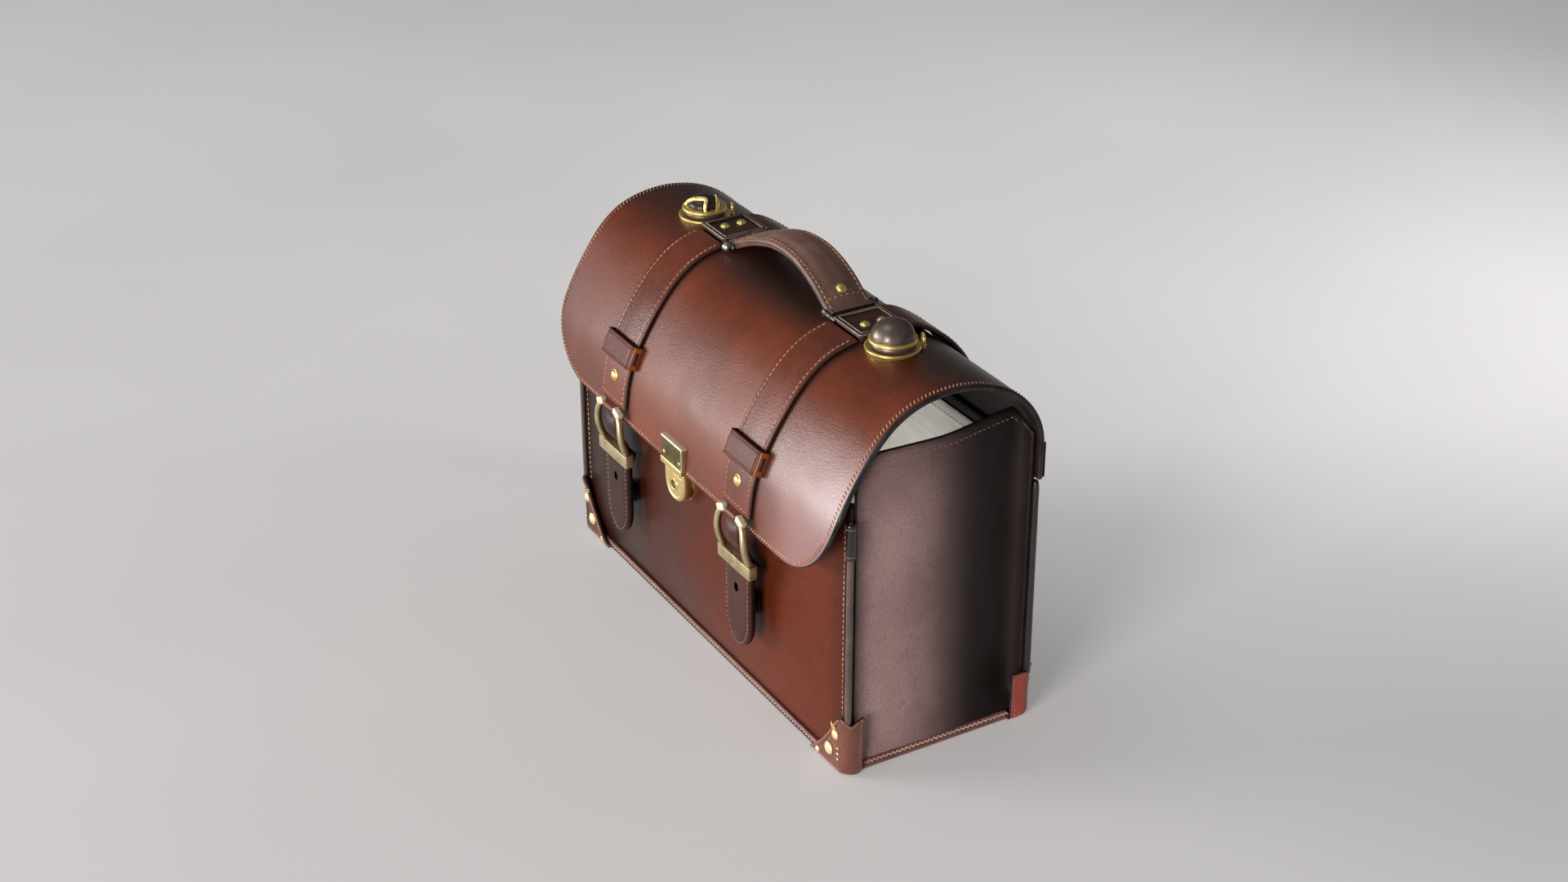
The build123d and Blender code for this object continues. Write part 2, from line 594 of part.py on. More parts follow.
# handle: flat padded arch with its ends bored for the pins
HANDLE_MID = [(-73.5, 286.0), (-66.5, 287.2), (-57.0, 292.0), (-44.0, 298.0), (-30.0, 303.3), (-14.0, 307.6),
              (0.0, 309.2), (14.0, 309.0), (30.0, 305.9), (44.0, 300.4), (56.0, 293.6), (66.5, 287.3), (73.5, 286.2)]
with BuildPart() as handle:
    with BuildSketch(Plane.XZ.offset(-HANDLE_Y1)):
        with BuildLine():
            a = Spline(*left_offset(HANDLE_MID, -3.0))
            b = Spline(*left_offset(HANDLE_MID, 3.0))
            Line(a @ 0, b @ 0)
            Line(a @ 1, b @ 1)
        make_face()
    extrude(amount=HANDLE_Y1 - HANDLE_Y0)
    with Locations((0, 0, 284.3)):
        Box(300, 100, 20, align=(Align.CENTER, Align.CENTER, Align.MAX), mode=Mode.SUBTRACT)
    fillet(handle.faces().group_by(Axis.Z)[-1].edges().filter_by(GeomType.BSPLINE), 1.4)
    with Locations(Plane((-HANDLE_PIN_X, -30, HANDLE_PIN_Z), z_dir=(0, 1, 0)),
                   Plane((HANDLE_PIN_X, -30, HANDLE_PIN_Z), z_dir=(0, 1, 0))):
        Cylinder(1.72, 80, align=(Align.CENTER, Align.CENTER, Align.MIN), mode=Mode.SUBTRACT)
handle.part.label = "handle"

with BuildPart() as handle_pin_left:
    with Locations(Plane((-HANDLE_PIN_X, -16.6, HANDLE_PIN_Z), z_dir=(0, 1, 0))):
        Cylinder(1.6, 42.8, align=(Align.CENTER, Align.CENTER, Align.MIN))
    with Locations((-HANDLE_PIN_X, -17.9, HANDLE_PIN_Z)):
        Sphere(3.0)
    with Locations((-HANDLE_PIN_X, 27.6, HANDLE_PIN_Z)):
        Sphere(2.3)
handle_pin_left.part.label = "handle_pin_left"

with BuildPart() as handle_pin_right:
    with Locations(Plane((HANDLE_PIN_X, -15.4, HANDLE_PIN_Z), z_dir=(0, 1, 0))):
        Cylinder(1.6, 41.6, align=(Align.CENTER, Align.CENTER, Align.MIN))
    with Locations((HANDLE_PIN_X, 27.6, HANDLE_PIN_Z)):
        Sphere(2.3)
handle_pin_right.part.label = "handle_pin_right"

# dome-headed rivets on the lid: straps, tabs and one at the handle's end
with BuildPart() as lid_rivets:
    (ry, rz), (my, mz) = on_flap(190.0)
    for side in (-1, 1):
        seat = Plane(origin=(side * STRAP_XC, ry + my * (STRAP_T + 0.45), rz + mz * (STRAP_T + 0.45)),
                     z_dir=(0, my, mz))
        with Locations(seat):
            Cylinder(3.9, 0.8, align=(Align.CENTER, Align.CENTER, Align.MIN))
        with Locations(seat.offset(0.8)):
            Cone(3.9, 1.8, 1.5, align=(Align.CENTER, Align.CENTER, Align.MIN))
        for y in (-1.0, 13.0):
            with Locations((side * 99.0, y, TAB_TOP_Z - 0.85)):
                Cylinder(3.5, 1.0, align=(Align.CENTER, Align.CENTER, Align.MIN))
            with Locations((side * 99.0, y, TAB_TOP_Z + 0.15)):
                Cone(3.5, 1.6, 1.5, align=(Align.CENTER, Align.CENTER, Align.MIN))
    seat = Plane(origin=(57.5, 5.0, 297.0), z_dir=(0.503, 0, 0.864))
    with Locations(seat.offset(-0.3)):
        Cylinder(3.6, 0.9, align=(Align.CENTER, Align.CENTER, Align.MIN))
    with Locations(seat.offset(0.6)):
        Cone(3.6, 1.7, 1.5, align=(Align.CENTER, Align.CENTER, Align.MIN))
lid_rivets.part.label = "lid_rivets"

# reinforcing strips under the crown, behind the handle tabs
REINF_LINE = left_offset(MID_FLAP, FLAP_T + 0.35)
REINF_LOW = left_offset(MID_FLAP, FLAP_T + 0.35 + 2.0)
with BuildPart() as lid_reinforcement_right:
    with BuildSketch(Plane.YZ.offset(78.0)):
        with BuildLine():
            a = Spline(*REINF_LINE[2:10])
            b = Spline(*REINF_LOW[2:10])
            Line(a @ 0, b @ 0)
            Line(a @ 1, b @ 1)
        make_face()
    extrude(amount=35.0)
lid_reinforcement_right.part.label = "lid_reinforcement_right"

with BuildPart() as lid_reinforcement_left:
    mirror(lid_reinforcement_right.part, about=Plane.YZ)
lid_reinforcement_left.part.label = "lid_reinforcement_left"

# -------------------------------------------------------------------- knobs
with BuildPart() as knob_base_right:
    with Locations((KNOB_X, KNOB_Y, 276)):
        Cylinder(19.5, 10.2, align=(Align.CENTER, Align.CENTER, Align.MIN))
    fillet(knob_base_right.edges().group_by(Axis.Z)[-1], 0.8)
    ring_plane = Plane(origin=(KNOB_X + 7.2, KNOB_Y + 19.6, 289.6), x_dir=(0.94, -0.345, 0), z_dir=(0.345, 0.94, 0))
    with Locations(ring_plane):
        Torus(3.2, 1.3)
    with Locations((KNOB_X + 7.2, KNOB_Y + 19.6, 276)):
        Cylinder(2.0, 10.6, align=(Align.CENTER, Align.CENTER, Align.MIN))
    add(crown.part, mode=Mode.SUBTRACT)
    with Locations((KNOB_X, KNOB_Y, 270)):
        Cylinder(POST_BORE_R, 30, align=(Align.CENTER, Align.CENTER, Align.MIN), mode=Mode.SUBTRACT)
knob_base_right.part.label = "knob_base_right"

with BuildPart() as knob_base_left:
    with Locations((-KNOB_X, KNOB_Y, 276)):
        Cylinder(19.5, 10.2, align=(Align.CENTER, Align.CENTER, Align.MIN))
    fillet(knob_base_left.edges().group_by(Axis.Z)[-1], 0.8)
    ring_plane = Plane(origin=(-KNOB_X + 7.2, KNOB_Y + 19.6, 289.6), x_dir=(0.94, -0.345, 0), z_dir=(0.345, 0.94, 0))
    with Locations(ring_plane):
        Torus(3.2, 1.3)
    with Locations((-KNOB_X + 7.2, KNOB_Y + 19.6, 276)):
        Cylinder(2.0, 10.6, align=(Align.CENTER, Align.CENTER, Align.MIN))
    add(crown.part, mode=Mode.SUBTRACT)
    with Locations((-KNOB_X, KNOB_Y, 270)):
        Cylinder(POST_BORE_R, 30, align=(Align.CENTER, Align.CENTER, Align.MIN), mode=Mode.SUBTRACT)
knob_base_left.part.label = "knob_base_left"

with BuildPart() as knob_post_right:
    with Locations((KNOB_X, KNOB_Y, 286.5)):
        Cylinder(15.8, 3.3, align=(Align.CENTER, Align.CENTER, Align.MIN))
    with Locations((KNOB_X, KNOB_Y, 276.6)):
        Cylinder(POST_R, 10.4, align=(Align.CENTER, Align.CENTER, Align.MIN))
    with Locations((KNOB_X, KNOB_Y, 275.4)):
        Cylinder(7.0, 1.6, align=(Align.CENTER, Align.CENTER, Align.MIN))
    with Locations((KNOB_X, KNOB_Y, 289.0)):
        Cylinder(6.0, 4.0, align=(Align.CENTER, Align.CENTER, Align.MIN))
knob_post_right.part.label = "knob_post_right"

with BuildPart() as knob_band_right:
    with Locations((KNOB_X, KNOB_Y, 289.9)):
        Cylinder(16.75, 3.2, align=(Align.CENTER, Align.CENTER, Align.MIN))
    fillet(knob_band_right.edges().filter_by(GeomType.CIRCLE), 1.2)
    with Locations((KNOB_X, KNOB_Y, 289.8)):
        Cylinder(6.1, 4.0, align=(Align.CENTER, Align.CENTER, Align.MIN), mode=Mode.SUBTRACT)
knob_band_right.part.label = "knob_band_right"

with BuildPart() as knob_dome_right:
    with BuildSketch(Plane.XZ):
        with BuildLine():
            a = Line((0, 293.2), (15.0, 293.2))
            b = Spline((15.0, 293.2), (15.3, 295.6), (13.0, 300.9), (7.3, 304.6), (0, 305.9),
                       tangents=((0.3, 1), (-1, 0)))
            Line(b @ 1, a @ 0)
        make_face()
    revolve(axis=Axis.Z)
dome_shape = knob_dome_right.part
with BuildPart() as knob_dome_right:
    with Locations((KNOB_X, KNOB_Y, 0)):
        add(dome_shape)
knob_dome_right.part.label = "knob_dome_right"

with BuildPart() as knob_post_left:
    mirror(knob_post_right.part, about=Plane.YZ)
knob_post_left.part.label = "knob_post_left"

# the left knob's cap is lower and is held by two curled claws of its band
with BuildPart() as knob_band_left:
    mirror(knob_band_right.part, about=Plane.YZ)
    for claw in (((-7.7, -13.1, 292.4), (-7.0, -11.4, 296.4), (-3.8, -10.1, 299.9), (-0.1, -6.6, 302.0),
                  (3.9, -2.1, 302.0), (8.3, 0.0, 300.0), (12.2, -1.6, 296.4), (14.3, -2.1, 292.4)),
                 ((13.7, 6.9, 292.4), (11.4, 7.1, 297.0), (9.8, 7.6, 300.2), (9.4, 7.4, 303.4))):
        with BuildLine() as claw_line:
            Spline(*[(x - KNOB_X, y, z) for x, y, z in claw])
        with BuildSketch(Plane(origin=claw_line.line @ 0, z_dir=claw_line.line % 0)):
            Circle(1.1)
        sweep(path=claw_line.line)
knob_band_left.part.label = "knob_band_left"

with BuildPart() as knob_dome_left:
    with BuildSketch(Plane.XZ):
        with BuildLine():
            a = Line((0, 293.2), (12.4, 293.2))
            b = Spline((12.4, 293.2), (12.2, 295.2), (9.4, 298.4), (5.2, 300.0), (0, 300.4),
                       tangents=((0.1, 1), (-1, 0)))
            Line(b @ 1, a @ 0)
        make_face()
    revolve(axis=Axis.Z)
low_dome = knob_dome_left.part
with BuildPart() as knob_dome_left:
    with Locations((-KNOB_X, KNOB_Y, 0)):
        add(low_dome)
    add(knob_band_left.part, mode=Mode.SUBTRACT)
knob_dome_left.part.label = "knob_dome_left"

# ------------------------------------------------------------- buckle drops
# frame: pin with eyes at the top, bowed arms, heavy cross bar below
with BuildPart() as buckle_right:
    with Locations((STRAP_XC, -100.35, 126.5)):
        Box(42.0, 7.3, 11.0)
    fillet(buckle_right.edges().filter_by(Axis.X), 1.0)
    for side in (-1, 1):
        with BuildLine():
            arm = Spline((STRAP_XC + side * 12.6, PIVOT_Y - 0.6, PIVOT_Z),
                         (STRAP_XC + side * 16.8, -105.6, 158.5),
                         (STRAP_XC + side * 19.0, -105.5, 145.5),
                         (STRAP_XC + side * 18.4, -100.9, 130.5),
                         tangents=((side * 0.75, -0.3, -0.8), (-side * 0.1, 0.35, -1)))
        with BuildSketch(Plane(origin=arm @ 0, z_dir=arm % 0, x_dir=(0, 1, 0))):
            RectangleRounded(4.2, 4.6, 1.4)
        sweep(path=arm)
    with Locations(Plane((STRAP_XC - 15.2, PIVOT_Y, PIVOT_Z), z_dir=(1, 0, 0)),
                   Plane((STRAP_XC + 10.2, PIVOT_Y, PIVOT_Z), z_dir=(1, 0, 0))):
        Cylinder(3.1, 5.0, align=(Align.CENTER, Align.CENTER, Align.MIN))
    with Locations(Plane((STRAP_XC - 11, PIVOT_Y, PIVOT_Z), z_dir=(1, 0, 0))):
        Cylinder(PIN_R, 22.0, align=(Align.CENTER, Align.CENTER, Align.MIN))
buckle_right.part.label = "buckle_right"

with BuildPart() as buckle_left:
    mirror(buckle_right.part, about=Plane.YZ)
buckle_left.part.label = "buckle_left"

# tongue: narrow loop between the arms, wide pointed tail below the bar
TAIL_Y0 = TONGUE_FACE_Y + 0.4
TAIL_FWD = 3.2                     # the tail stands this much further out below the bar
with BuildPart() as tongue_right:
    with BuildSketch(Plane.XZ.offset(80)):
        with BuildLine():
            a = Line((STRAP_XC - TONGUE_W / 2, 131.0), (STRAP_XC + TONGUE_W / 2, 131.0))
            b = Line(a @ 1, (STRAP_XC + TONGUE_W / 2, 80.0))
            c = Spline(b @ 1, (STRAP_XC + 13.6, 66.0), (STRAP_XC + 6.4, 58.6), (STRAP_XC, TONGUE_TIP_Z),
                       tangents=((0, -1), (-1, -0.12)))
            d = Spline(c @ 1, (STRAP_XC - 6.4, 58.6), (STRAP_XC - 13.6, 66.0), (STRAP_XC - TONGUE_W / 2, 80.0),
                       tangents=((-1, 0.12), (0, 1)))
            Line(d @ 1, a @ 0)
        make_face()
        with Locations((STRAP_XC, 105.0)):
            SlotOverall(7.0, 4.6, rotation=90, mode=Mode.SUBTRACT)
    extrude(amount=35)
    with BuildSketch(Plane.YZ.offset(STRAP_XC - 30)):
        with BuildLine():
            a = Spline((TAIL_Y0, 131.0), (TAIL_Y0, 121.0), (TAIL_Y0 - 0.8, 117.0), (TAIL_Y0 - 2.5, 110.0),
                       (TAIL_Y0 - TAIL_FWD, 100.0), (TAIL_Y0 - TAIL_FWD, 90.0), (TAIL_Y0 - TAIL_FWD, 75.0),
                       (TAIL_Y0 - TAIL_FWD, 55.0))
            b = Spline((TAIL_Y0 + TONGUE_T, 131.0), (TAIL_Y0 + TONGUE_T, 119.0), (TAIL_Y0 + TONGUE_T - 0.8, 115.0),
                       (TAIL_Y0 + TONGUE_T - 2.5, 108.0), (TAIL_Y0 + TONGUE_T - TAIL_FWD, 98.0), (TAIL_Y0 + TONGUE_T - TAIL_FWD, 88.0),
                       (TAIL_Y0 + TONGUE_T - TAIL_FWD, 74.0), (TAIL_Y0 + TONGUE_T - TAIL_FWD, 55.0))
            Line(a @ 0, b @ 0)
            Line(a @ 1, b @ 1)
        make_face()
    extrude(amount=60, mode=Mode.INTERSECT)
    with BuildSketch(Plane.YZ.offset(STRAP_XC - 10.5)):
        with BuildLine():
            a = Spline((TAIL_Y0, 132.0), (-101.6, 136.5), (-106.2, 144.0), (-106.9, 151.5), (-104.9, 157.4))
            b = Spline((TAIL_Y0 + 4.0, 132.0), (-97.2, 138.8), (-101.8, 145.2), (-102.8, 151.2), (-101.9, 156.0))
            Line(a @ 0, b @ 0)
            Line(a @ 1, b @ 1)
        make_face()
    extrude(amount=21.0)
    with Locations((STRAP_XC, TAIL_Y0 + 2.0, 130.5)):
        Box(21.0, 4.0, 3.2)
tongue_right.part.label = "tongue_right"

with BuildPart() as tongue_left:
    mirror(tongue_right.part, about=Plane.YZ)
tongue_left.part.label = "tongue_left"

with BuildPart() as closure_disc_right:
    with Locations(Plane((STRAP_XC, TAIL_Y0 + TONGUE_T, 88.0), z_dir=(0, 1, 0))):
        Cylinder(8.5, -89.35 - (TAIL_Y0 + TONGUE_T), align=(Align.CENTER, Align.CENTER, Align.MIN))
    with Locations(Plane((STRAP_XC, TAIL_Y0 + TONGUE_T - TAIL_FWD - 0.3, 88.0), z_dir=(0, 1, 0))):
        Cylinder(5.5, TAIL_FWD + 0.7, align=(Align.CENTER, Align.CENTER, Align.MIN))
    add(tongue_right.part, mode=Mode.SUBTRACT)
closure_disc_right.part.label = "closure_disc_right"

with BuildPart() as closure_disc_left:
    mirror(closure_disc_right.part, about=Plane.YZ)
closure_disc_left.part.label = "closure_disc_left"

# -------------------------------------------------------------------- export
PIECES = [front_panel, back_panel, base_panel, base_board, gusset_left, gusset_right, lining,
          piping_front_left, piping_front_right, piping_rear_left, piping_rear_right, piping_sleeves,
          corner_cap_front_left, corner_cap_front_right, corner_cap_rear_left, corner_cap_rear_right,
          corner_cap_rivets, base_welts_long, base_welts_short, flap_anchor, rear_seam_strip,
          closure_plates, lock_case, lock_backplate, lock_cylinder, lock_bolt, lock_plate, flap,
          strap_front_left, strap_front_right, strap_rear_left, strap_rear_right, keeper_left,
          keeper_right, tab_bezel_left, tab_bezel_right, tab_patch_left, tab_patch_right, lid_rivets,
          handle, handle_pin_left, handle_pin_right, lid_reinforcement_left, lid_reinforcement_right,
          knob_base_left, knob_base_right, knob_post_left, knob_post_right, knob_band_left,
          knob_band_right, knob_dome_left, knob_dome_right, buckle_left, buckle_right, tongue_left,
          tongue_right, closure_disc_left, closure_disc_right]
for piece in PIECES:
    export_step(piece.part, f"parts/{piece.part.label}.step")
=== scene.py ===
import math
import bpy
import numpy as np
from mathutils import Matrix, Vector, noise


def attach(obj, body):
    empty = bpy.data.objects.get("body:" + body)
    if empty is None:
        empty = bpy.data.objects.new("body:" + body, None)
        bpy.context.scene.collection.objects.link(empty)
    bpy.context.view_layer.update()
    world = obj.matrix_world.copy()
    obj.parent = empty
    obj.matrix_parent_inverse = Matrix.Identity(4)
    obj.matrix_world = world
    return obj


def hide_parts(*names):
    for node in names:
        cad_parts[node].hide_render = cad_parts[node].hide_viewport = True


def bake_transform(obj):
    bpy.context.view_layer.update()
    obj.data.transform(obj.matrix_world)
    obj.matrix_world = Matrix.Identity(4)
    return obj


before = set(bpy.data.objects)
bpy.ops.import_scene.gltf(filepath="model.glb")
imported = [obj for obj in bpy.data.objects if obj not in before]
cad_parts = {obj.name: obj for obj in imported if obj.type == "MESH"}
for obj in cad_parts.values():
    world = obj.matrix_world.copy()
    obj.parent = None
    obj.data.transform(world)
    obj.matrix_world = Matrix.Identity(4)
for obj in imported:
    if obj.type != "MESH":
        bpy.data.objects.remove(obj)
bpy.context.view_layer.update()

MM = 0.001
RNG = np.random.default_rng(7)


# =====================================================================
# maths helpers (millimetres)
# =====================================================================
def spline_eval(knots, values, where):
    """Natural cubic spline through values[k] at knots[k]."""
    knots = np.asarray(knots, float)
    values = np.asarray(values, float)
    n = len(knots)
    h = np.diff(knots)
    a = np.zeros((n, n))
    rhs = np.zeros((n,) + values.shape[1:])
    a[0, 0] = a[-1, -1] = 1
    for i in range(1, n - 1):
        a[i, i - 1], a[i, i], a[i, i + 1] = h[i - 1], 2 * (h[i - 1] + h[i]), h[i]
        rhs[i] = 6 * ((values[i + 1] - values[i]) / h[i] - (values[i] - values[i - 1]) / h[i - 1])
    m = np.linalg.solve(a, rhs)
    where = np.clip(np.asarray(where, float), knots[0], knots[-1])
    k = np.clip(np.searchsorted(knots, where, side="right") - 1, 0, n - 2)
    t0 = (knots[k + 1] - where)
    t1 = (where - knots[k])
    hk = h[k]
    if values.ndim > 1:
        t0, t1, hk = t0[..., None], t1[..., None], hk[..., None]
    return (m[k] * t0 ** 3 + m[k + 1] * t1 ** 3) / (6 * hk) + (values[k] / hk - m[k] * hk / 6) * t0 \
        + (values[k + 1] / hk - m[k + 1] * hk / 6) * t1


def through(points, count):
    """count points, evenly spaced, on a smooth line through the given ones."""
    p = np.asarray(points, float)
    chord = np.concatenate([[0], np.cumsum(np.linalg.norm(np.diff(p, axis=0), axis=1))])
    dense = spline_eval(chord, p, np.linspace(0, chord[-1], 40 * len(p)))
    return even(dense, count)


def even(line, count):
    line = np.asarray(line, float)
    s = np.concatenate([[0], np.cumsum(np.linalg.norm(np.diff(line, axis=0), axis=1))])
    t = np.linspace(0, s[-1], count)
    return np.stack([np.interp(t, s, line[:, k]) for k in range(line.shape[1])], 1)


def length_of(line):
    return float(np.linalg.norm(np.diff(np.asarray(line, float), axis=0), axis=1).sum())


def unit(v):
    v = np.asarray(v, float)
    return v / np.maximum(np.linalg.norm(v, axis=-1, keepdims=True), 1e-9)


def smooth01(t):
    t = np.clip(t, 0, 1)
    return t * t * (3 - 2 * t)


def wob(x, y, z, scale, seed=0.0):
    return noise.noise(Vector((x / scale + seed, y / scale - seed * 0.7, z / scale + seed * 0.3)))


# =====================================================================
# mesh makers
# =====================================================================
def make(name, verts, faces, mats, index=None, smooth=True, edge=None):
    mesh = bpy.data.meshes.new(name)
    mesh.from_pydata((np.asarray(verts, float) * MM).tolist(), [], [list(map(int, f)) for f in faces])
    mesh.validate()
    for m in (mats if isinstance(mats, (list, tuple)) else [mats]):
        mesh.materials.append(m)
    if index is not None and len(index) == len(mesh.polygons):
        mesh.polygons.foreach_set("material_index", np.asarray(index, np.int32))
    mesh.polygons.foreach_set("use_smooth", np.full(len(mesh.polygons), smooth))
    if edge is not None:
        at = mesh.attributes.new("edge", "FLOAT", "POINT")
        at.data.foreach_set("value", np.asarray(edge, np.float32))
    mesh.update()
    ob = bpy.data.objects.new(name, mesh)
    bpy.context.scene.collection.objects.link(ob)
    return ob


def fix_normals(ob):
    import bmesh
    bm = bmesh.new()
    bm.from_mesh(ob.data)
    bmesh.ops.remove_doubles(bm, verts=bm.verts, dist=2e-6)
    bmesh.ops.recalc_face_normals(bm, faces=bm.faces)
    bm.to_mesh(ob.data)
    bm.free()
    ob.data.update()
    return ob


def grid_normals(p):
    du = np.gradient(p, axis=0)
    dv = np.gradient(p, axis=1)
    return unit(np.cross(du, dv))


def sheet_solid(name, outer, thick, mats, flip=False, rim=0.35, rim_steps=3, wear=9.0):
    """A closed leather sheet: outer grid [nu, nv, 3], inner grid and a rounded rim.
    Face materials: 0 outer, 1 inner, 2 rim."""
    nu, nv, _ = outer.shape
    n = grid_normals(outer) * (-1 if flip else 1)
    inner = outer - n * thick
    # distance to the rim along the sheet, for wear
    du = np.concatenate([np.zeros((1, nv)), np.cumsum(np.linalg.norm(np.diff(outer, axis=0), axis=2), axis=0)])
    dv = np.concatenate([np.zeros((nu, 1)), np.cumsum(np.linalg.norm(np.diff(outer, axis=1), axis=2), axis=1)], axis=1)
    dist = np.minimum(np.minimum(du, du[-1:] - du), np.minimum(dv, dv[:, -1:] - dv))
    edge_o = np.clip(1 - dist / wear, 0, 1)
    loop = [(i, 0) for i in range(nu)] + [(nu - 1, j) for j in range(1, nv)] + \
           [(i, nv - 1) for i in range(nu - 2, -1, -1)] + [(0, j) for j in range(nv - 2, 0, -1)]
    verts = [outer.reshape(-1, 3), inner.reshape(-1, 3)]
    edges = [edge_o.ravel(), edge_o.ravel()]
    k = nu * nv
    faces, index = [], []
    for i in range(nu - 1):
        for j in range(nv - 1):
            a, b, c, d = i * nv + j, (i + 1) * nv + j, (i + 1) * nv + j + 1, i * nv + j + 1
            faces.append((a, b, c, d)); index.append(0)
            faces.append((k + a, k + d, k + c, k + b)); index.append(1)
    li = np.array([i * nv + j for i, j in loop])
    lo = outer.reshape(-1, 3)[li]
    ln = n.reshape(-1, 3)[li]
    tang = unit(np.roll(lo, -1, 0) - np.roll(lo, 1, 0))
    out = unit(np.cross(tang, ln))
    centre = outer.reshape(-1, 3).mean(0)
    # outward direction: away from the neighbouring inner vertex
    inward = []
    for i, j in loop:
        ii = min(max(i, 1), nu - 2)
        jj = min(max(j, 1), nv - 2)
        inward.append(outer[ii, jj])
    inward = np.array(inward)
    s = np.sign(np.sum(out * (lo - inward), axis=1))
    s[s == 0] = 1
    out = out * s[:, None]
    rings = [li]
    base = 2 * k
    for r in range(1, rim_steps + 1):
        f = r / (rim_steps + 1)
        ring = lo - ln * thick * f + out * thick * rim * math.sin(math.pi * f)
        verts.append(ring)
        edges.append(np.ones(len(li)))
        rings.append(np.arange(base, base + len(li)))
        base += len(li)
    rings.append(li + k)
    m = len(li)
    for a, b in zip(rings, rings[1:]):
        for q in range(m):
            faces.append((a[q], b[q], b[(q + 1) % m], a[(q + 1) % m])); index.append(2)
    ob = make(name, np.concatenate(verts), faces, mats, index, edge=np.concatenate(edges))
    return fix_normals_keep(ob)


def fix_normals_keep(ob):
    import bmesh
    bm = bmesh.new()
    bm.from_mesh(ob.data)
    bmesh.ops.recalc_face_normals(bm, faces=bm.faces)
    bm.to_mesh(ob.data)
    bm.free()
    ob.data.update()
    return ob


def edge_profile(d, r):
    """0 at the very edge, 1 once d is past the rounded edge."""
    q = 1 - np.clip(d / r, 0, 1)
    return np.sqrt(np.maximum(1 - q * q, 0))


def pad(name, path, normal, side, halfw, thick, mats, edge_r=1.4, bottom_r=None, crown=0.3, groove=3.0,
        groove_depth=0.28, start_round=True, end_round=True, cols=None, wear=3.0, lift=None):
    """A leather strap: path [n,3] is the underside's centre line, normal and side [n,3] its frame.
    Rounded edges, a crowned face and stitch grooves a little in from each edge."""
    path = np.asarray(path, float)
    n = len(path)
    normal = np.broadcast_to(np.asarray(normal, float), path.shape)
    side = np.broadcast_to(np.asarray(side, float), path.shape)
    hw = np.broadcast_to(np.asarray(halfw, float), (n,)).copy()
    s = np.concatenate([[0], np.cumsum(np.linalg.norm(np.diff(path, axis=0), axis=1))])
    w0 = hw.max()
    g = groove if groove else 3.0
    half = [0.0, 0.12, 0.3, 0.55, 0.9, edge_r, g - 0.75, g - 0.35, g, g + 0.35, g + 0.75, g + 1.8]
    half = sorted(set(round(v, 3) for v in half if v < w0 * 0.8))
    rest = np.linspace(half[-1], w0, 6)[1:]
    dcol = np.array(half + list(rest))               # distance from the edge, edge -> centre
    frac = dcol / w0
    c = np.concatenate([-1 + frac, (1 - frac)[:-1][::-1]])
    nc = len(c)
    top = np.zeros((n, nc, 3)); bot = np.zeros((n, nc, 3)); wearv = np.zeros((n, nc))
    for i in range(n):
        off = c * hw[i]
        d = hw[i] - np.abs(off)
        de = np.full(nc, 1e9)
        if start_round:
            de = np.minimum(de, s[i] - s[0])
        if end_round:
            de = np.minimum(de, s[-1] - s[i])
        dm = np.minimum(d, de)
        h = thick * (0.42 + 0.58 * edge_profile(dm, edge_r))
        h = h + crown * smooth01((dm - 2) / max(w0 - 2, 1))
        if groove:
            h = h - groove_depth * np.exp(-((d - g) / 0.45) ** 2)
        lo = thick * 0.42 * (1 - edge_profile(dm, bottom_r or edge_r * 0.8)) if bottom_r is None else \
            thick * 0.5 * (1 - edge_profile(dm, bottom_r))
        if bottom_r is not None:
            h = thick * (0.5 + 0.5 * edge_profile(dm, edge_r)) + crown * smooth01((dm - 2) / max(w0 - 2, 1))
            if groove:
                h = h - groove_depth * np.exp(-((d - g) / 0.45) ** 2)
        p = path[i] + off[:, None] * side[i]
        top[i] = p + h[:, None] * normal[i]
        bot[i] = p + lo[:, None] * normal[i]
        wearv[i] = np.clip(1 - dm / wear, 0, 1)
    verts = np.concatenate([top.reshape(-1, 3), bot.reshape(-1, 3)])
    k = n * nc
    faces, index = [], []
    for i in range(n - 1):
        for j in range(nc - 1):
            a, b, cc, d2 = i * nc + j, (i + 1) * nc + j, (i + 1) * nc + j + 1, i * nc + j + 1
            e = 2 if (j == 0 or j == nc - 2) else 0
            faces.append((a, b, cc, d2)); index.append(0 if e == 0 else 0)
            faces.append((k + a, k + d2, k + cc, k + b)); index.append(1)
    for i in range(n - 1):
        for j in (0, nc - 1):
            a, b = i * nc + j, (i + 1) * nc + j
            faces.append((a, b, k + b, k + a)); index.append(2)
    for i in (0, n - 1):
        for j in range(nc - 1):
            a, b = i * nc + j, i * nc + j + 1
            faces.append((a, b, k + b, k + a)); index.append(2)
    mats = mats if isinstance(mats, (list, tuple)) else [mats, mats, mats]
    ob = make(name, verts, faces, mats, index, edge=np.concatenate([wearv.ravel(), wearv.ravel()]))
    return fix_normals_keep(ob)


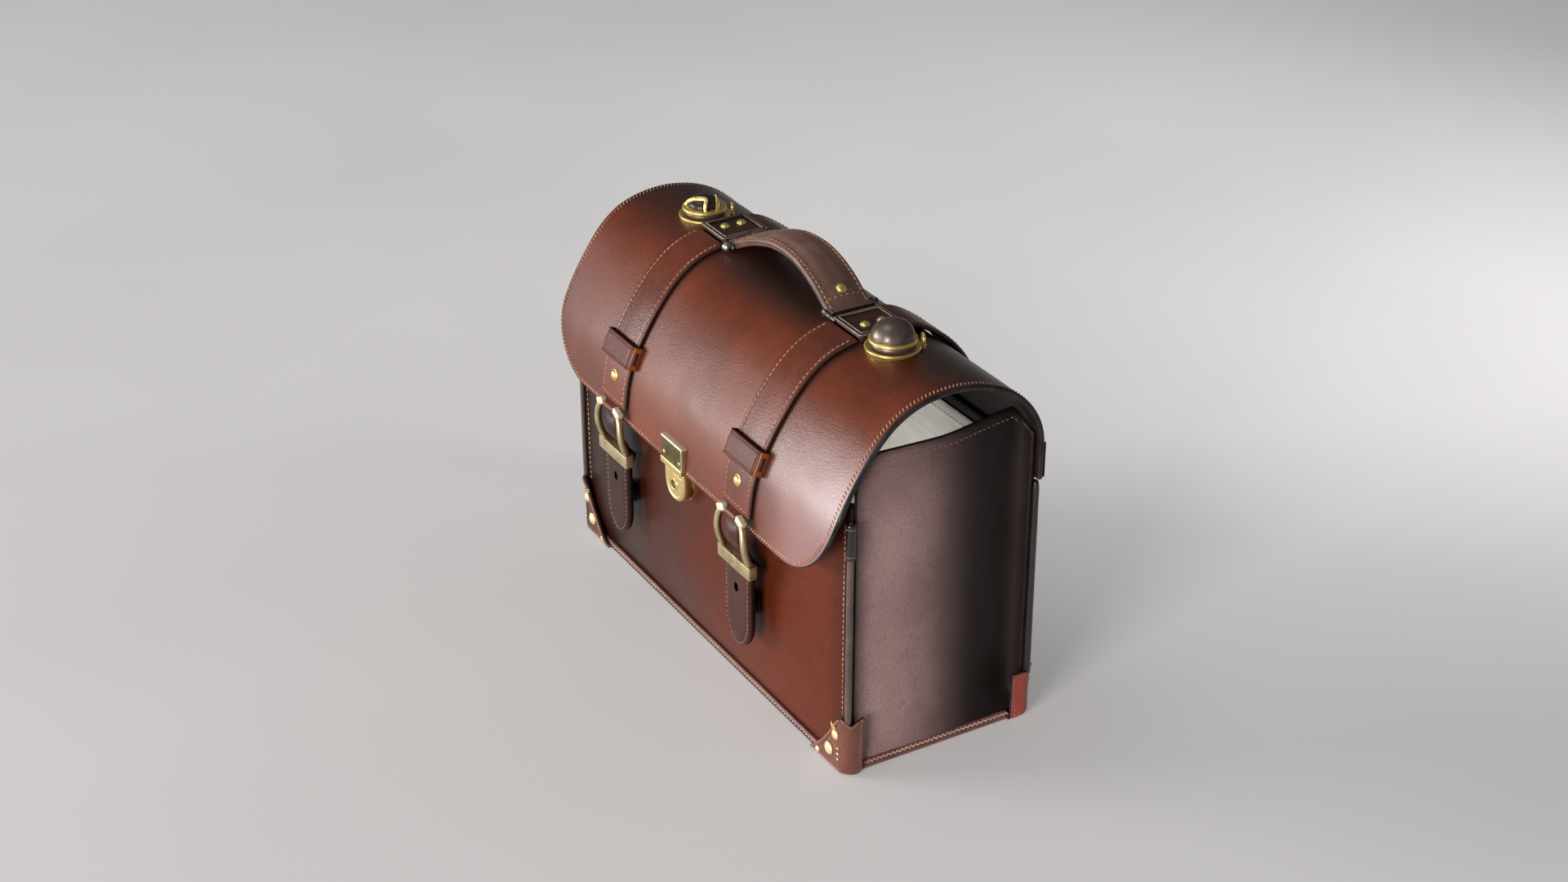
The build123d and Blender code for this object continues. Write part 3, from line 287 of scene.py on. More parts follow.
def stitch_mesh(name, line, normal, mat, pitch=4.2, length=3.0, width=0.85, height=0.55, slant=0.0, sink=0.15,
                skip=0.0, closed=False):
    """Thread stitches along a line, merged in one mesh. slant turns each stitch about the surface normal."""
    line = np.asarray(line, float)
    normal = np.broadcast_to(np.asarray(normal, float), line.shape)
    s = np.concatenate([[0], np.cumsum(np.linalg.norm(np.diff(line, axis=0), axis=1))])
    count = max(int((s[-1] - 2 * skip) / pitch), 1)
    at = skip + (np.arange(count) + 0.5) * (s[-1] - 2 * skip) / count
    p = np.stack([np.interp(at, s, line[:, k]) for k in range(3)], 1)
    nn = unit(np.stack([np.interp(at, s, normal[:, k]) for k in range(3)], 1))
    q = np.stack([np.interp(np.minimum(at + 0.4, s[-1]), s, line[:, k]) for k in range(3)], 1) - \
        np.stack([np.interp(np.maximum(at - 0.4, 0), s, line[:, k]) for k in range(3)], 1)
    t = unit(q - nn * np.sum(q * nn, axis=1, keepdims=True))
    b = np.cross(nn, t)
    rings = [(-0.5, 0.25), (-0.42, 0.72), (-0.2, 1.0), (0.2, 1.0), (0.42, 0.72), (0.5, 0.25)]
    m = 7
    verts, faces = [], []
    for i in range(count):
        ang = slant + RNG.normal(0, 0.05)
        ti = t[i] * math.cos(ang) + b[i] * math.sin(ang)
        bi = -t[i] * math.sin(ang) + b[i] * math.cos(ang)
        ln = length * (1 + RNG.normal(0, 0.05))
        base = len(verts)
        jig = RNG.normal(0, 0.05, 2)
        for f, r in rings:
            for a in range(m):
                th = 2 * math.pi * a / m
                verts.append(p[i] + ti * (f * ln + jig[0]) + bi * (math.cos(th) * r * width / 2 + jig[1])
                             + nn[i] * (math.sin(th) * r * height + height * 0.35 - sink
                                        - 0.5 * height * (2 * f) ** 4))
        for r in range(len(rings) - 1):
            for a in range(m):
                a2 = (a + 1) % m
                faces.append((base + r * m + a, base + r * m + a2, base + (r + 1) * m + a2, base + (r + 1) * m + a))
        faces.append([base + a for a in range(m)][::-1])
        faces.append([base + (len(rings) - 1) * m + a for a in range(m)])
    return fix_normals_keep(make(name, verts, faces, mat))


def lathe(name, profile, mat, origin=(0, 0, 0), axis=(0, 0, 1), segments=64, index=None, mats=None):
    """Turned solid from (radius, height) pairs; the first and last are closed to the axis."""
    axis = unit(axis)
    ref = np.array([1.0, 0, 0]) if abs(axis[0]) < 0.9 else np.array([0, 1.0, 0])
    u = unit(np.cross(axis, ref)); v = np.cross(axis, u)
    o = np.asarray(origin, float)
    verts, faces, idx = [], [], []
    pr = [(max(r, 0.0), h) for r, h in profile]
    rows = []
    for r, h in pr:
        if r < 1e-6:
            rows.append([len(verts)]); verts.append(o + axis * h)
        else:
            start = len(verts)
            for a in range(segments):
                th = 2 * math.pi * a / segments
                verts.append(o + axis * h + (u * math.cos(th) + v * math.sin(th)) * r)
            rows.append(list(range(start, start + segments)))
    for k, (a, b) in enumerate(zip(rows, rows[1:])):
        for q in range(segments):
            q2 = (q + 1) % segments
            if len(a) == 1 and len(b) == 1:
                continue
            if len(a) == 1:
                faces.append((a[0], b[q], b[q2]))
            elif len(b) == 1:
                faces.append((a[q], a[q2], b[0]))
            else:
                faces.append((a[q], a[q2], b[q2], b[q]))
            idx.append(0 if index is None else index[k])
    if len(rows[0]) > 1:
        faces.append(rows[0][::-1]); idx.append(0 if index is None else index[0])
    if len(rows[-1]) > 1:
        faces.append(rows[-1]); idx.append(0 if index is None else index[-1])
    return fix_normals_keep(make(name, verts, faces, mats or mat, idx))


def tube(name, line, radius, mat, segments=20, flat=None, caps=True, up=None):
    """Round (or flattened) tube along a line, closed by flat caps at its ends."""
    line = np.asarray(line, float)
    n = len(line)
    rad = np.broadcast_to(np.asarray(radius, float), (n,)).copy()
    t = unit(np.gradient(line, axis=0))
    ref = np.asarray(up if up is not None else (0, 0, 1), float)
    if abs(np.dot(t[0], ref)) > 0.95:
        ref = np.array([0, 1.0, 0])
    verts, faces = [], []
    b = None
    for i in range(n):
        if b is None:
            b = unit(np.cross(t[i], ref))
        else:
            b = unit(b - t[i] * np.dot(b, t[i]))
        nn = np.cross(b, t[i])
        for a in range(segments):
            th = 2 * math.pi * a / segments
            ca, sa = math.cos(th), math.sin(th)
            if flat:
                e = 2.6
                den = (abs(ca) ** e + abs(sa) ** e) ** (1 / e)
                verts.append(line[i] + (b * ca * flat[0] / den + nn * sa * flat[1] / den) * rad[i])
            else:
                verts.append(line[i] + (b * ca + nn * sa) * rad[i])
    for i in range(n - 1):
        for a in range(segments):
            a2 = (a + 1) % segments
            faces.append((i * segments + a, i * segments + a2, (i + 1) * segments + a2, (i + 1) * segments + a))
    faces.append(list(range(segments))[::-1])
    faces.append(list(range((n - 1) * segments, n * segments)))
    return fix_normals_keep(make(name, verts, faces, mat))


def rounded_ends(line, r):
    """Radii along a line so that the tube closes with a rounded end."""
    s = np.concatenate([[0], np.cumsum(np.linalg.norm(np.diff(line, axis=0), axis=1))])
    d = np.minimum(s, s[-1] - s)
    return r * np.maximum(edge_profile(d, r * 0.8), 0.15)


def block(name, centre, size, mat, bevel=0.5, segments=3, frame_axes=None):
    """Rounded block; frame_axes are its three unit directions."""
    import bmesh
    bm = bmesh.new()
    bmesh.ops.create_cube(bm, size=1.0)
    ax = np.array(frame_axes if frame_axes is not None else np.eye(3), float)
    for v in bm.verts:
        v.co = Vector([v.co[k] * size[k] * MM for k in range(3)])
    bmesh.ops.bevel(bm, geom=list(bm.edges), offset=bevel * MM, segments=segments, profile=0.5, affect="EDGES")
    for v in bm.verts:
        q = np.array(v.co) @ ax + np.asarray(centre, float) * MM
        v.co = Vector(q)
    mesh = bpy.data.meshes.new(name)
    bm.to_mesh(mesh); bm.free()
    mesh.materials.append(mat)
    mesh.polygons.foreach_set("use_smooth", np.full(len(mesh.polygons), True))
    ob = bpy.data.objects.new(name, mesh)
    bpy.context.scene.collection.objects.link(ob)
    return ob


def extrude_outline(name, outline, depth, mat, to3d, bevel=0.5, steps=3, hole=None, mats=None):
    """Plate from a closed 2-D outline; to3d(points, height) maps it. The upper edge is rounded by bevel."""
    o = np.asarray(outline, float)
    n = len(o)
    t = unit(np.roll(o, -1, 0) - np.roll(o, 1, 0))
    inn = np.stack([-t[:, 1], t[:, 0]], 1)
    area = 0.5 * np.sum(o[:, 0] * np.roll(o[:, 1], -1) - np.roll(o[:, 0], -1) * o[:, 1])
    if area < 0:
        inn = -inn
    rows = [(0.0, 0.0), (0.0, depth - bevel)]
    for k in range(1, steps + 1):
        a = math.pi / 2 * k / steps
        rows.append((bevel * (1 - math.cos(a)), depth - bevel + bevel * math.sin(a)))
    verts, faces = [], []
    for inset, h in rows:
        verts.extend(to3d(o + inn * inset, h))
    for r in range(len(rows) - 1):
        for q in range(n):
            q2 = (q + 1) % n
            faces.append((r * n + q, r * n + q2, (r + 1) * n + q2, (r + 1) * n + q))
    faces.append(list(range(n))[::-1])
    faces.append(list(range((len(rows) - 1) * n, len(rows) * n)))
    return fix_normals_keep(make(name, verts, faces, mats or mat))


def join(name, obs):
    """One object from several, with their materials."""
    bpy.ops.object.select_all(action="DESELECT")
    for o in obs:
        o.select_set(True)
    bpy.context.view_layer.objects.active = obs[0]
    bpy.ops.object.join()
    obs[0].name = name
    obs[0].data.name = name
    return obs[0]


# =====================================================================
# materials
# =====================================================================
def lin(rgb):
    out = []
    for c in rgb:
        c = c / 255.0
        out.append(c / 12.92 if c <= 0.04045 else ((c + 0.055) / 1.055) ** 2.4)
    return (*out, 1.0)


class Mat:
    def __init__(self, name):
        self.m = bpy.data.materials.new(name)
        self.m.use_nodes = True
        self.nt = self.m.node_tree
        self.nt.nodes.clear()
        self.out = self.nt.nodes.new("ShaderNodeOutputMaterial")
        self.b = self.nt.nodes.new("ShaderNodeBsdfPrincipled")
        self.link(self.b.outputs[0], self.out.inputs[0])
        self.tc = self.nt.nodes.new("ShaderNodeTexCoord")

    def link(self, a, b):
        self.nt.links.new(a, b)

    def noise(self, scale, detail=4.0, rough=0.55, stretch=None, distortion=0.0):
        n = self.nt.nodes.new("ShaderNodeTexNoise")
        n.inputs["Scale"].default_value = scale
        n.inputs["Detail"].default_value = detail
        n.inputs["Roughness"].default_value = rough
        n.inputs["Distortion"].default_value = distortion
        src = self.tc.outputs["Object"]
        if stretch:
            mp = self.nt.nodes.new("ShaderNodeMapping")
            mp.inputs["Scale"].default_value = stretch
            self.link(src, mp.inputs[0])
            src = mp.outputs[0]
        self.link(src, n.inputs["Vector"])
        return n.outputs["Fac"]

    def cells(self, scale, smooth=True, stretch=None):
        n = self.nt.nodes.new("ShaderNodeTexVoronoi")
        n.feature = "SMOOTH_F1" if smooth else "DISTANCE_TO_EDGE"
        n.inputs["Scale"].default_value = scale
        src = self.tc.outputs["Object"]
        if stretch:
            mp = self.nt.nodes.new("ShaderNodeMapping")
            mp.inputs["Scale"].default_value = stretch
            self.link(src, mp.inputs[0])
            src = mp.outputs[0]
        self.link(src, n.inputs["Vector"])
        return n.outputs["Distance"]

    def ranged(self, value, a, b, c, d, smooth=False):
        n = self.nt.nodes.new("ShaderNodeMapRange")
        n.interpolation_type = "SMOOTHSTEP" if smooth else "LINEAR"
        for key, v in zip(("From Min", "From Max", "To Min", "To Max"), (a, b, c, d)):
            n.inputs[key].default_value = v
        self.link(value, n.inputs["Value"])
        return n.outputs["Result"]

    def mix(self, fac, a, b, kind="MIX"):
        n = self.nt.nodes.new("ShaderNodeMix")
        n.data_type = "RGBA"
        n.blend_type = kind
        if isinstance(fac, float):
            n.inputs[0].default_value = fac
        else:
            self.link(fac, n.inputs[0])
        for k, v in ((6, a), (7, b)):
            if isinstance(v, tuple):
                n.inputs[k].default_value = v
            else:
                self.link(v, n.inputs[k])
        return n.outputs[2]

    def math(self, op, a, b):
        n = self.nt.nodes.new("ShaderNodeMath")
        n.operation = op
        for k, v in ((0, a), (1, b)):
            if isinstance(v, (float, int)):
                n.inputs[k].default_value = v
            else:
                self.link(v, n.inputs[k])
        return n.outputs[0]

    def edge(self):
        n = self.nt.nodes.new("ShaderNodeAttribute")
        n.attribute_name = "edge"
        return n.outputs["Fac"]

    def bump(self, height, strength, distance, normal=None):
        n = self.nt.nodes.new("ShaderNodeBump")
        n.inputs["Strength"].default_value = strength
        n.inputs["Distance"].default_value = distance
        self.link(height, n.inputs["Height"])
        if normal is not None:
            self.link(normal, n.inputs["Normal"])
        return n.outputs[0]


def leather(name, base, dark, light, rough=0.42, grain=620.0, strength=0.22, mottle=11.0, wear=None, wear_amount=0.5,
            coat=0.0, spec=0.5, rough_var=0.08, seed=1.0, tone=(), painted_shading=False):
    """tone: colour darkened by place, as (axis, from, to, value at from, value at to) in metres; it paints shade on the
    front panel, gussets, tongues and front caps, and makes the handle darker towards its right end.
    """
    m = Mat(name)
    big = m.ranged(m.noise(mottle, 4.0, 0.55), 0.32, 0.68, 0.0, 1.0, True)
    mid = m.ranged(m.noise(mottle * 6.1, 5.0, 0.6), 0.25, 0.75, 0.0, 1.0)
    col = m.mix(big, lin(dark), lin(base))
    col = m.mix(m.math("MULTIPLY", mid, 0.35), col, lin(light))
    pores = m.cells(grain)
    creases = m.cells(grain * 0.55, False)
    fine = m.noise(grain * 2.3, 3.0, 0.6)
    col = m.mix(m.ranged(creases, 0.0, 0.12, 0.30, 0.0), col, lin([c * 0.55 for c in dark]))
    if wear is not None:
        e = m.math("MULTIPLY", m.ranged(m.edge(), 0.25, 1.0, 0.0, 1.0, True), m.ranged(mid, 0.1, 0.8, wear_amount, 1.0 * wear_amount * 0.6))
        col = m.mix(e, col, lin(wear))
    # painted shade: the colour darkened towards near-black by place
    if tone:
        sep = m.nt.nodes.new("ShaderNodeSeparateXYZ")
        m.link(m.tc.outputs["Object"], sep.inputs[0])
        f = None
        for axis, a, b, va, vb in tone:
            g = m.ranged(sep.outputs[axis], a, b, va, vb, True)
            f = g if f is None else m.math("MULTIPLY", f, g)
        keep = m.math("SUBTRACT", 1.0, f)
        col = m.mix(keep, col, lin([c * 0.10 for c in dark]))
    # painted shade and a painted highlight from two vertex attributes: the first darkens the colour towards near-black,
    # the second lightens it to a pale pinkish grey
    if painted_shading:
        n = m.nt.nodes.new("ShaderNodeAttribute")
        n.attribute_name = "painted_shading"
        col = m.mix(n.outputs["Fac"], col, lin([c * 0.15 for c in dark]))
        # painted highlight: lightens the colour to a pale pinkish grey
        n = m.nt.nodes.new("ShaderNodeAttribute")
        n.attribute_name = "painted_highlight"
        col = m.mix(n.outputs["Fac"], col, lin((182, 156, 158)))
    m.link(col, m.b.inputs["Base Color"])
    m.link(m.ranged(m.math("ADD", m.math("MULTIPLY", big, 0.4), m.math("MULTIPLY", fine, 0.6)), 0.2, 0.8,
                    rough - rough_var, rough + rough_var), m.b.inputs["Roughness"])
    h = m.math("ADD", m.math("MULTIPLY", m.ranged(creases, 0.0, 0.22, 0.0, 1.0, True), 0.65),
               m.math("ADD", m.math("MULTIPLY", pores, 0.5), m.math("MULTIPLY", fine, 0.35)))
    low = m.bump(m.noise(26.0, 3.0, 0.5), 0.10, 0.004)
    m.link(m.bump(h, strength, 0.00025, low), m.b.inputs["Normal"])
    m.b.inputs["Specular IOR Level"].default_value = spec
    m.b.inputs["Coat Weight"].default_value = coat
    m.b.inputs["Coat Roughness"].default_value = 0.28
    return m.m


def painted_edge(name, base, dark, rough=0.5):
    """Burnished leather edge: lengthwise layers and worn spots."""
    m = Mat(name)
    lay = m.noise(900.0, 2.0, 0.5, (0.15, 1.0, 1.0))
    blot = m.noise(55.0, 5.0, 0.6)
    col = m.mix(m.ranged(blot, 0.35, 0.65, 0.0, 1.0, True), lin(dark), lin(base))
    m.link(col, m.b.inputs["Base Color"])
    m.link(m.ranged(blot, 0.2, 0.8, rough - 0.1, rough + 0.12), m.b.inputs["Roughness"])
    m.link(m.bump(lay, 0.35, 0.0002), m.b.inputs["Normal"])
    m.b.inputs["Specular IOR Level"].default_value = 0.22
    return m.m


def metal(name, base, dark, rough=0.28, patina=0.5, scratch=0.25, spots=None, metallic=1.0):
    m = Mat(name)
    cloud = m.noise(70.0, 6.0, 0.65)
    fine = m.noise(700.0, 3.0, 0.6)
    hair = m.noise(420.0, 2.0, 0.5, (1.0, 0.09, 1.0))
    pat = m.ranged(cloud, 0.42, 0.66, 0.0, patina, True)
    col = m.mix(pat, lin(base), lin(dark))
    col = m.mix(m.ranged(fine, 0.55, 0.8, 0.0, 0.35), col, lin(dark))
    if spots:
        col = m.mix(m.ranged(m.noise(260.0, 4.0, 0.7), 0.62, 0.72, 0.0, 0.6), col, lin(spots))
    m.link(col, m.b.inputs["Base Color"])
    m.link(m.math("ADD", m.ranged(cloud, 0.3, 0.7, rough - 0.06, rough + 0.12), m.math("MULTIPLY", hair, 0.12)),
           m.b.inputs["Roughness"])
    m.b.inputs["Metallic"].default_value = metallic
    h = m.math("ADD", m.math("MULTIPLY", hair, scratch), m.math("MULTIPLY", fine, 0.5))
    m.link(m.bump(h, 0.12, 0.00012, m.bump(cloud, 0.08, 0.001)), m.b.inputs["Normal"])
    return m.m


def thread(name, base, dark):
    m = Mat(name)
    ply = m.noise(2600.0, 2.0, 0.5, (1.0, 1.0, 0.3))
    soil_and_shade = m.noise(38.0, 4.0, 0.6)
    col = m.mix(m.ranged(soil_and_shade, 0.35, 0.7, 0.0, 1.0, True), lin(base), lin(dark))
    col = m.mix(m.ranged(ply, 0.45, 0.7, 0.0, 0.45), col, lin([c * 0.5 for c in dark]))
    m.link(col, m.b.inputs["Base Color"])
    m.link(m.ranged(ply, 0.2, 0.8, 0.55, 0.8), m.b.inputs["Roughness"])
    m.link(m.bump(ply, 0.5, 0.0002), m.b.inputs["Normal"])
    m.b.inputs["Sheen Weight"].default_value = 0.15
    return m.m


def cloth(name, base, dark):
    """Plain woven lining, about one millimetre a thread."""
    m = Mat(name)
    w1 = m.nt.nodes.new("ShaderNodeTexWave"); w1.bands_direction = "X"
    w2 = m.nt.nodes.new("ShaderNodeTexWave"); w2.bands_direction = "Z"
    w3 = m.nt.nodes.new("ShaderNodeTexWave"); w3.bands_direction = "Y"
    for w in (w1, w2, w3):
        w.inputs["Scale"].default_value = 330.0
        w.inputs["Distortion"].default_value = 0.6
        w.inputs["Detail"].default_value = 1.0
        m.link(m.tc.outputs["Object"], w.inputs["Vector"])
    weave = m.math("ADD", m.math("MAXIMUM", w1.outputs["Fac"], w3.outputs["Fac"]), w2.outputs["Fac"])
    soil_and_shade = m.noise(17.0, 5.0, 0.6)
    col = m.mix(m.ranged(soil_and_shade, 0.35, 0.68, 0.0, 1.0, True), lin(base), lin(dark))
    col = m.mix(m.ranged(weave, 0.4, 1.6, 0.35, 0.0), col, lin([c * 0.6 for c in dark]))
    m.link(col, m.b.inputs["Base Color"])
    m.link(m.ranged(weave, 0.4, 1.6, 0.92, 0.78), m.b.inputs["Roughness"])
    m.link(m.bump(weave, 0.35, 0.0003), m.b.inputs["Normal"])
    m.b.inputs["Sheen Weight"].default_value = 0.2
    return m.m


def board_mat(name, base, dark):
    m = Mat(name)
    fib = m.noise(240.0, 6.0, 0.7, (0.4, 1.0, 1.0))
    blot = m.noise(20.0, 4.0, 0.6)
    col = m.mix(m.ranged(blot, 0.35, 0.65, 0.0, 1.0, True), lin(base), lin(dark))
    col = m.mix(m.ranged(fib, 0.5, 0.75, 0.0, 0.5), col, lin([c * 0.6 for c in dark]))
    m.link(col, m.b.inputs["Base Color"])
    m.link(m.ranged(fib, 0.2, 0.8, 0.75, 0.92), m.b.inputs["Roughness"])
    m.link(m.bump(fib, 0.4, 0.0004), m.b.inputs["Normal"])
    return m.m


M_BODY = leather("body_leather", (80, 31, 16), (62, 25, 15), (96, 42, 25), rough=0.38, wear=(64, 34, 27), wear_amount=0.7,
                 spec=0.20)
# front panel: the tone paints shade, darker towards the left end and a little at the right edge
M_FRONT = leather("front_leather", (91, 35, 14), (72, 28, 13), (107, 46, 24), rough=0.38, wear=(64, 34, 27),
                  wear_amount=0.7, spec=0.17, tone=((0, -0.19, 0.12, 0.16, 1.0), (0, 0.176, 0.20, 1.0, 0.66)))
# flap: vertex attributes on the flap sheet paint shade and a highlight into this colour
M_FLAP = leather("flap_leather", (105, 40, 8), (82, 31, 9), (123, 54, 18), rough=0.43, wear=(52, 29, 24),
                 wear_amount=0.6, coat=0.12, painted_shading=True)
# flesh side: its own dark brown made near-black, as painted shade for the underside of the flap
M_UNDER = leather("flesh_side", (32, 21, 18), (22, 15, 13), (44, 29, 25), rough=0.74, grain=900.0, strength=0.35, spec=0.2)
# gussets: the tone paints shade, near-black towards the rear seam, darker along the top under the flap and a little at
# the front edge
M_GUSSET = leather("gusset_leather", (164, 132, 129), (142, 112, 110), (184, 153, 150), rough=0.40, wear=(84, 62, 60),
                   wear_amount=0.6, spec=0.12, tone=((1, -0.070, -0.052, 0.80, 1.0), (1, -0.050, 0.036, 1.0, 0.05),
                                                     (2, 0.185, 0.250, 1.0, 0.55)))
M_STRAP = leather("strap_leather", (100, 43, 21), (78, 33, 18), (116, 56, 34), rough=0.38, wear=(54, 32, 26),
                  wear_amount=0.85, mottle=19.0)
# tongues: the tone paints shade on the left tongue
M_TONGUE = leather("tongue_leather", (66, 32, 26), (50, 25, 21), (84, 48, 40), rough=0.42, spec=0.24, wear=(56, 34, 30),
                   wear_amount=0.85, mottle=24.0, tone=((0, -0.11, -0.02, 0.55, 1.0),))
M_KEEPER = leather("keeper_leather", (94, 46, 36), (72, 35, 28), (112, 61, 49), rough=0.44, spec=0.22, wear=(54, 34, 30),
                   wear_amount=0.8, mottle=30.0)
M_AMBER = leather("keeper_raw_edge", (150, 72, 16), (104, 44, 10), (186, 100, 32), rough=0.34, grain=900.0, mottle=90.0)
M_PATCH = leather("patch_leather", (62, 26, 19), (46, 20, 15), (78, 38, 29), rough=0.36, wear=(40, 23, 20),
                  wear_amount=0.8, mottle=30.0)
# handle: the tone makes it darker towards its right end
M_HANDLE = leather("handle_leather", (144, 104, 90), (116, 80, 67), (164, 128, 114), rough=0.42, wear=(52, 34, 28),
                   wear_amount=0.8, mottle=18.0, tone=((0, 0.010, 0.055, 1.0, 0.55),))
M_PIPE = leather("piping_leather", (92, 70, 64), (64, 48, 45), (116, 92, 86), rough=0.28, grain=900.0, coat=0.25, mottle=30.0)
M_PIPE_DARK = leather("piping_dark", (30, 22, 22), (20, 15, 15), (46, 35, 34), rough=0.26, grain=900.0, coat=0.3, mottle=30.0)
# front caps: the tone paints shade on the left cap
M_CAP = leather("cap_leather", (112, 62, 49), (90, 48, 38), (134, 80, 64), rough=0.34, wear=(146, 94, 78),
                wear_amount=0.7, mottle=26.0, coat=0.12, tone=((0, -0.21, -0.10, 0.35, 1.0),))
M_CAP_REAR = leather("cap_leather_rear", (176, 66, 50), (148, 54, 41), (194, 90, 70), rough=0.36, wear=(120, 74, 60),
                     wear_amount=0.6, mottle=26.0)
M_BEAD = leather("rolled_edge_leather", (142, 88, 72), (108, 64, 52), (168, 112, 94), rough=0.34, grain=900.0, mottle=40.0)
M_WELT = leather("welt_leather", (128, 84, 74), (98, 62, 54), (154, 108, 98), rough=0.42, grain=900.0, mottle=30.0)
M_EDGE = painted_edge("painted_edge", (50, 44, 44), (30, 25, 25), 0.40)
M_EDGE_BROWN = painted_edge("burnished_edge", (36, 22, 18), (22, 14, 12), 0.50)
M_THREAD = thread("thread_tan", (204, 150, 120), (148, 98, 74))
M_THREAD_DARK = thread("thread_brown", (170, 114, 88), (118, 74, 56))
M_THREAD_GOLD = thread("thread_gold", (196, 146, 96), (136, 92, 58))
M_THREAD_PINK = thread("thread_pink", (226, 186, 172), (180, 132, 118))
M_LINING = cloth("lining_cloth", (236, 233, 227), (206, 202, 194))
M_BOARD = board_mat("base_board", (120, 98, 74), (96, 76, 56))
M_BRASS = metal("brass_bright", (238, 210, 132), (190, 150, 76), rough=0.26, patina=0.45, spots=(96, 66, 26), metallic=0.86)
M_RIVET = metal("brass_rivet_pale", (244, 228, 180), (204, 174, 116), rough=0.36, patina=0.4, metallic=0.7)
M_ANTIQUE = metal("brass_antique", (206, 190, 150), (142, 124, 86), rough=0.32, patina=0.75, spots=(84, 70, 46))
M_PALE = metal("brass_pale", (236, 214, 152), (184, 158, 96), rough=0.28, patina=0.5, spots=(120, 96, 50))
M_OLIVE = metal("brass_dark_olive", (112, 102, 66), (70, 62, 40), rough=0.34, patina=0.7, spots=(50, 44, 28))
M_TIP = metal("silvered_tips", (232, 220, 192), (186, 168, 130), rough=0.42, patina=0.5, metallic=0.6)
M_DARKMETAL = metal("dark_metal", (104, 96, 90), (58, 52, 48), rough=0.30, patina=0.6)
M_FRAME = metal("tab_frame_metal", (140, 122, 110), (92, 76, 67), rough=0.38, patina=0.6, metallic=0.3)
M_BLUED = metal("blackened_steel", (58, 54, 52), (34, 31, 30), rough=0.42, patina=0.6, metallic=0.8)
M_STEEL = metal("steel", (168, 164, 158), (112, 106, 100), rough=0.30, patina=0.5)
M_PEWTER = metal("pewter", (118, 104, 96), (78, 68, 60), rough=0.30, patina=0.6, spots=(60, 50, 44), metallic=0.75)
M_UMBER = metal("dark_lacquer", (64, 54, 44), (34, 27, 22), rough=0.26, patina=0.6, spots=(22, 17, 14), metallic=0.6)
M_EDGE_HANDLE = painted_edge("handle_side", (40, 24, 20), (26, 16, 14), 0.62)
M_BLACK = painted_edge("shadow_black", (26, 18, 16), (16, 11, 10), 0.7)


# =====================================================================
# dimensions of the frame (mm)
# =====================================================================
BODY_X, FRONT_Y, REAR_Y, FRONT_BULGE, REAR_BULGE, PANEL_T = 200.0, -74.0, 75.0, 16.0, 3.0, 3.0
FLAP_X, FLAP_T, FLAP_EDGE_Z, FLAP_R = 204.0, 4.0, 157.0, 52.0
STRAP_XC, STRAP_W, STRAP_T = 93.9, 37.5, 3.2
PIVOT_Y, PIVOT_Z = -103.9, 165.0
LOCK_X, LOCK_Z = 0.5, 143.0
TAB_X0, TAB_X1, TAB_Y0, TAB_Y1, TAB_TOP = 78.0, 113.0, -13.5, 24.0, 288.6
HANDLE_Y0, HANDLE_Y1 = -12.6, 22.9
KNOB_X = 133.0
X, Y, Z = np.eye(3)


def flap_points(swell):
    rear = [(79, 195.2), (79, 209), (79.0, 222.3), (78.8, 226.0), (75.6, 239.0), (67.5, 253.5), (52.0, 268.5),
            (28.0, 280.0), (0.0, 284.0)]
    front = [(-18.0, 282.0, 0.0), (-36.0, 275.8, 0.15), (-52.0, 263.5, 0.35), (-65.0, 247.5, 0.6),
             (-79.5, 224.0, 0.85), (-89.0, 203.5, 1.0), (-93.2, 188.0, 1.0), (-95.4, 172.0, 1.0),
             (-96.5, 157.0, 1.0)]
    return np.array(rear + [(y - swell * 4.0 * w * 0.8, z + swell * 4.0 * w * 0.35 * (1 - w)) for y, z, w in front])


def swell_at(x):
    return 1.0 - (abs(x) / FLAP_X) ** 4


def flap_line(x, n=700):
    return through(flap_points(swell_at(x)), n)


def left_normals(line):
    t = unit(np.gradient(line, axis=0))
    return np.stack([-t[:, 1], t[:, 0]], 1)        # towards the inside of the bag for the flap's line


_lines = {}


def line_cached(x):
    key = round(float(x), 2)
    if key not in _lines:
        ln = flap_line(key)
        s = np.concatenate([[0], np.cumsum(np.linalg.norm(np.diff(ln, axis=0), axis=1))])
        _lines[key] = (ln, s, -left_normals(ln))
    return _lines[key]


def flap_front(x, z):
    """Outer surface of the front drop at (x, z): point and outward normal."""
    ln, s, nn = line_cached(x)
    k = int(np.argmax(ln[:, 1]))
    zz, yy = ln[k:, 1], ln[k:, 0]
    y = np.interp(-z, -zz, yy)
    ny = np.interp(-z, -zz, nn[k:, 0]); nz = np.interp(-z, -zz, nn[k:, 1])
    return np.array([x, y, z]), unit(np.array([0, ny, nz]))


def flap_s(x, s_from_rear):
    ln, s, nn = line_cached(x)
    p = np.array([np.interp(s_from_rear, s, ln[:, 0]), np.interp(s_from_rear, s, ln[:, 1])])
    q = np.array([np.interp(s_from_rear, s, nn[:, 0]), np.interp(s_from_rear, s, nn[:, 1])])
    return np.array([x, p[0], p[1]]), unit(np.array([0, q[0], q[1]]))


def edge_z(x, inset=0.0):
    """Height of the flap's front rim at x."""
    ax = abs(x)
    cx = FLAP_X - FLAP_R
    r = FLAP_R - inset
    if ax <= cx:
        return FLAP_EDGE_Z + inset
    d = min(ax - cx, r)
    return FLAP_EDGE_Z + FLAP_R - math.sqrt(max(r * r - d * d, 0))


def crown_z(x, y):
    """Height of the flap's outer face over a point near the crown."""
    ln, s, nn = line_cached(x)
    o = np.argsort(ln[:, 0])
    good = ln[o, 1] > 240
    return float(np.interp(y, ln[o, 0][good], ln[o, 1][good]))


pieces = {}


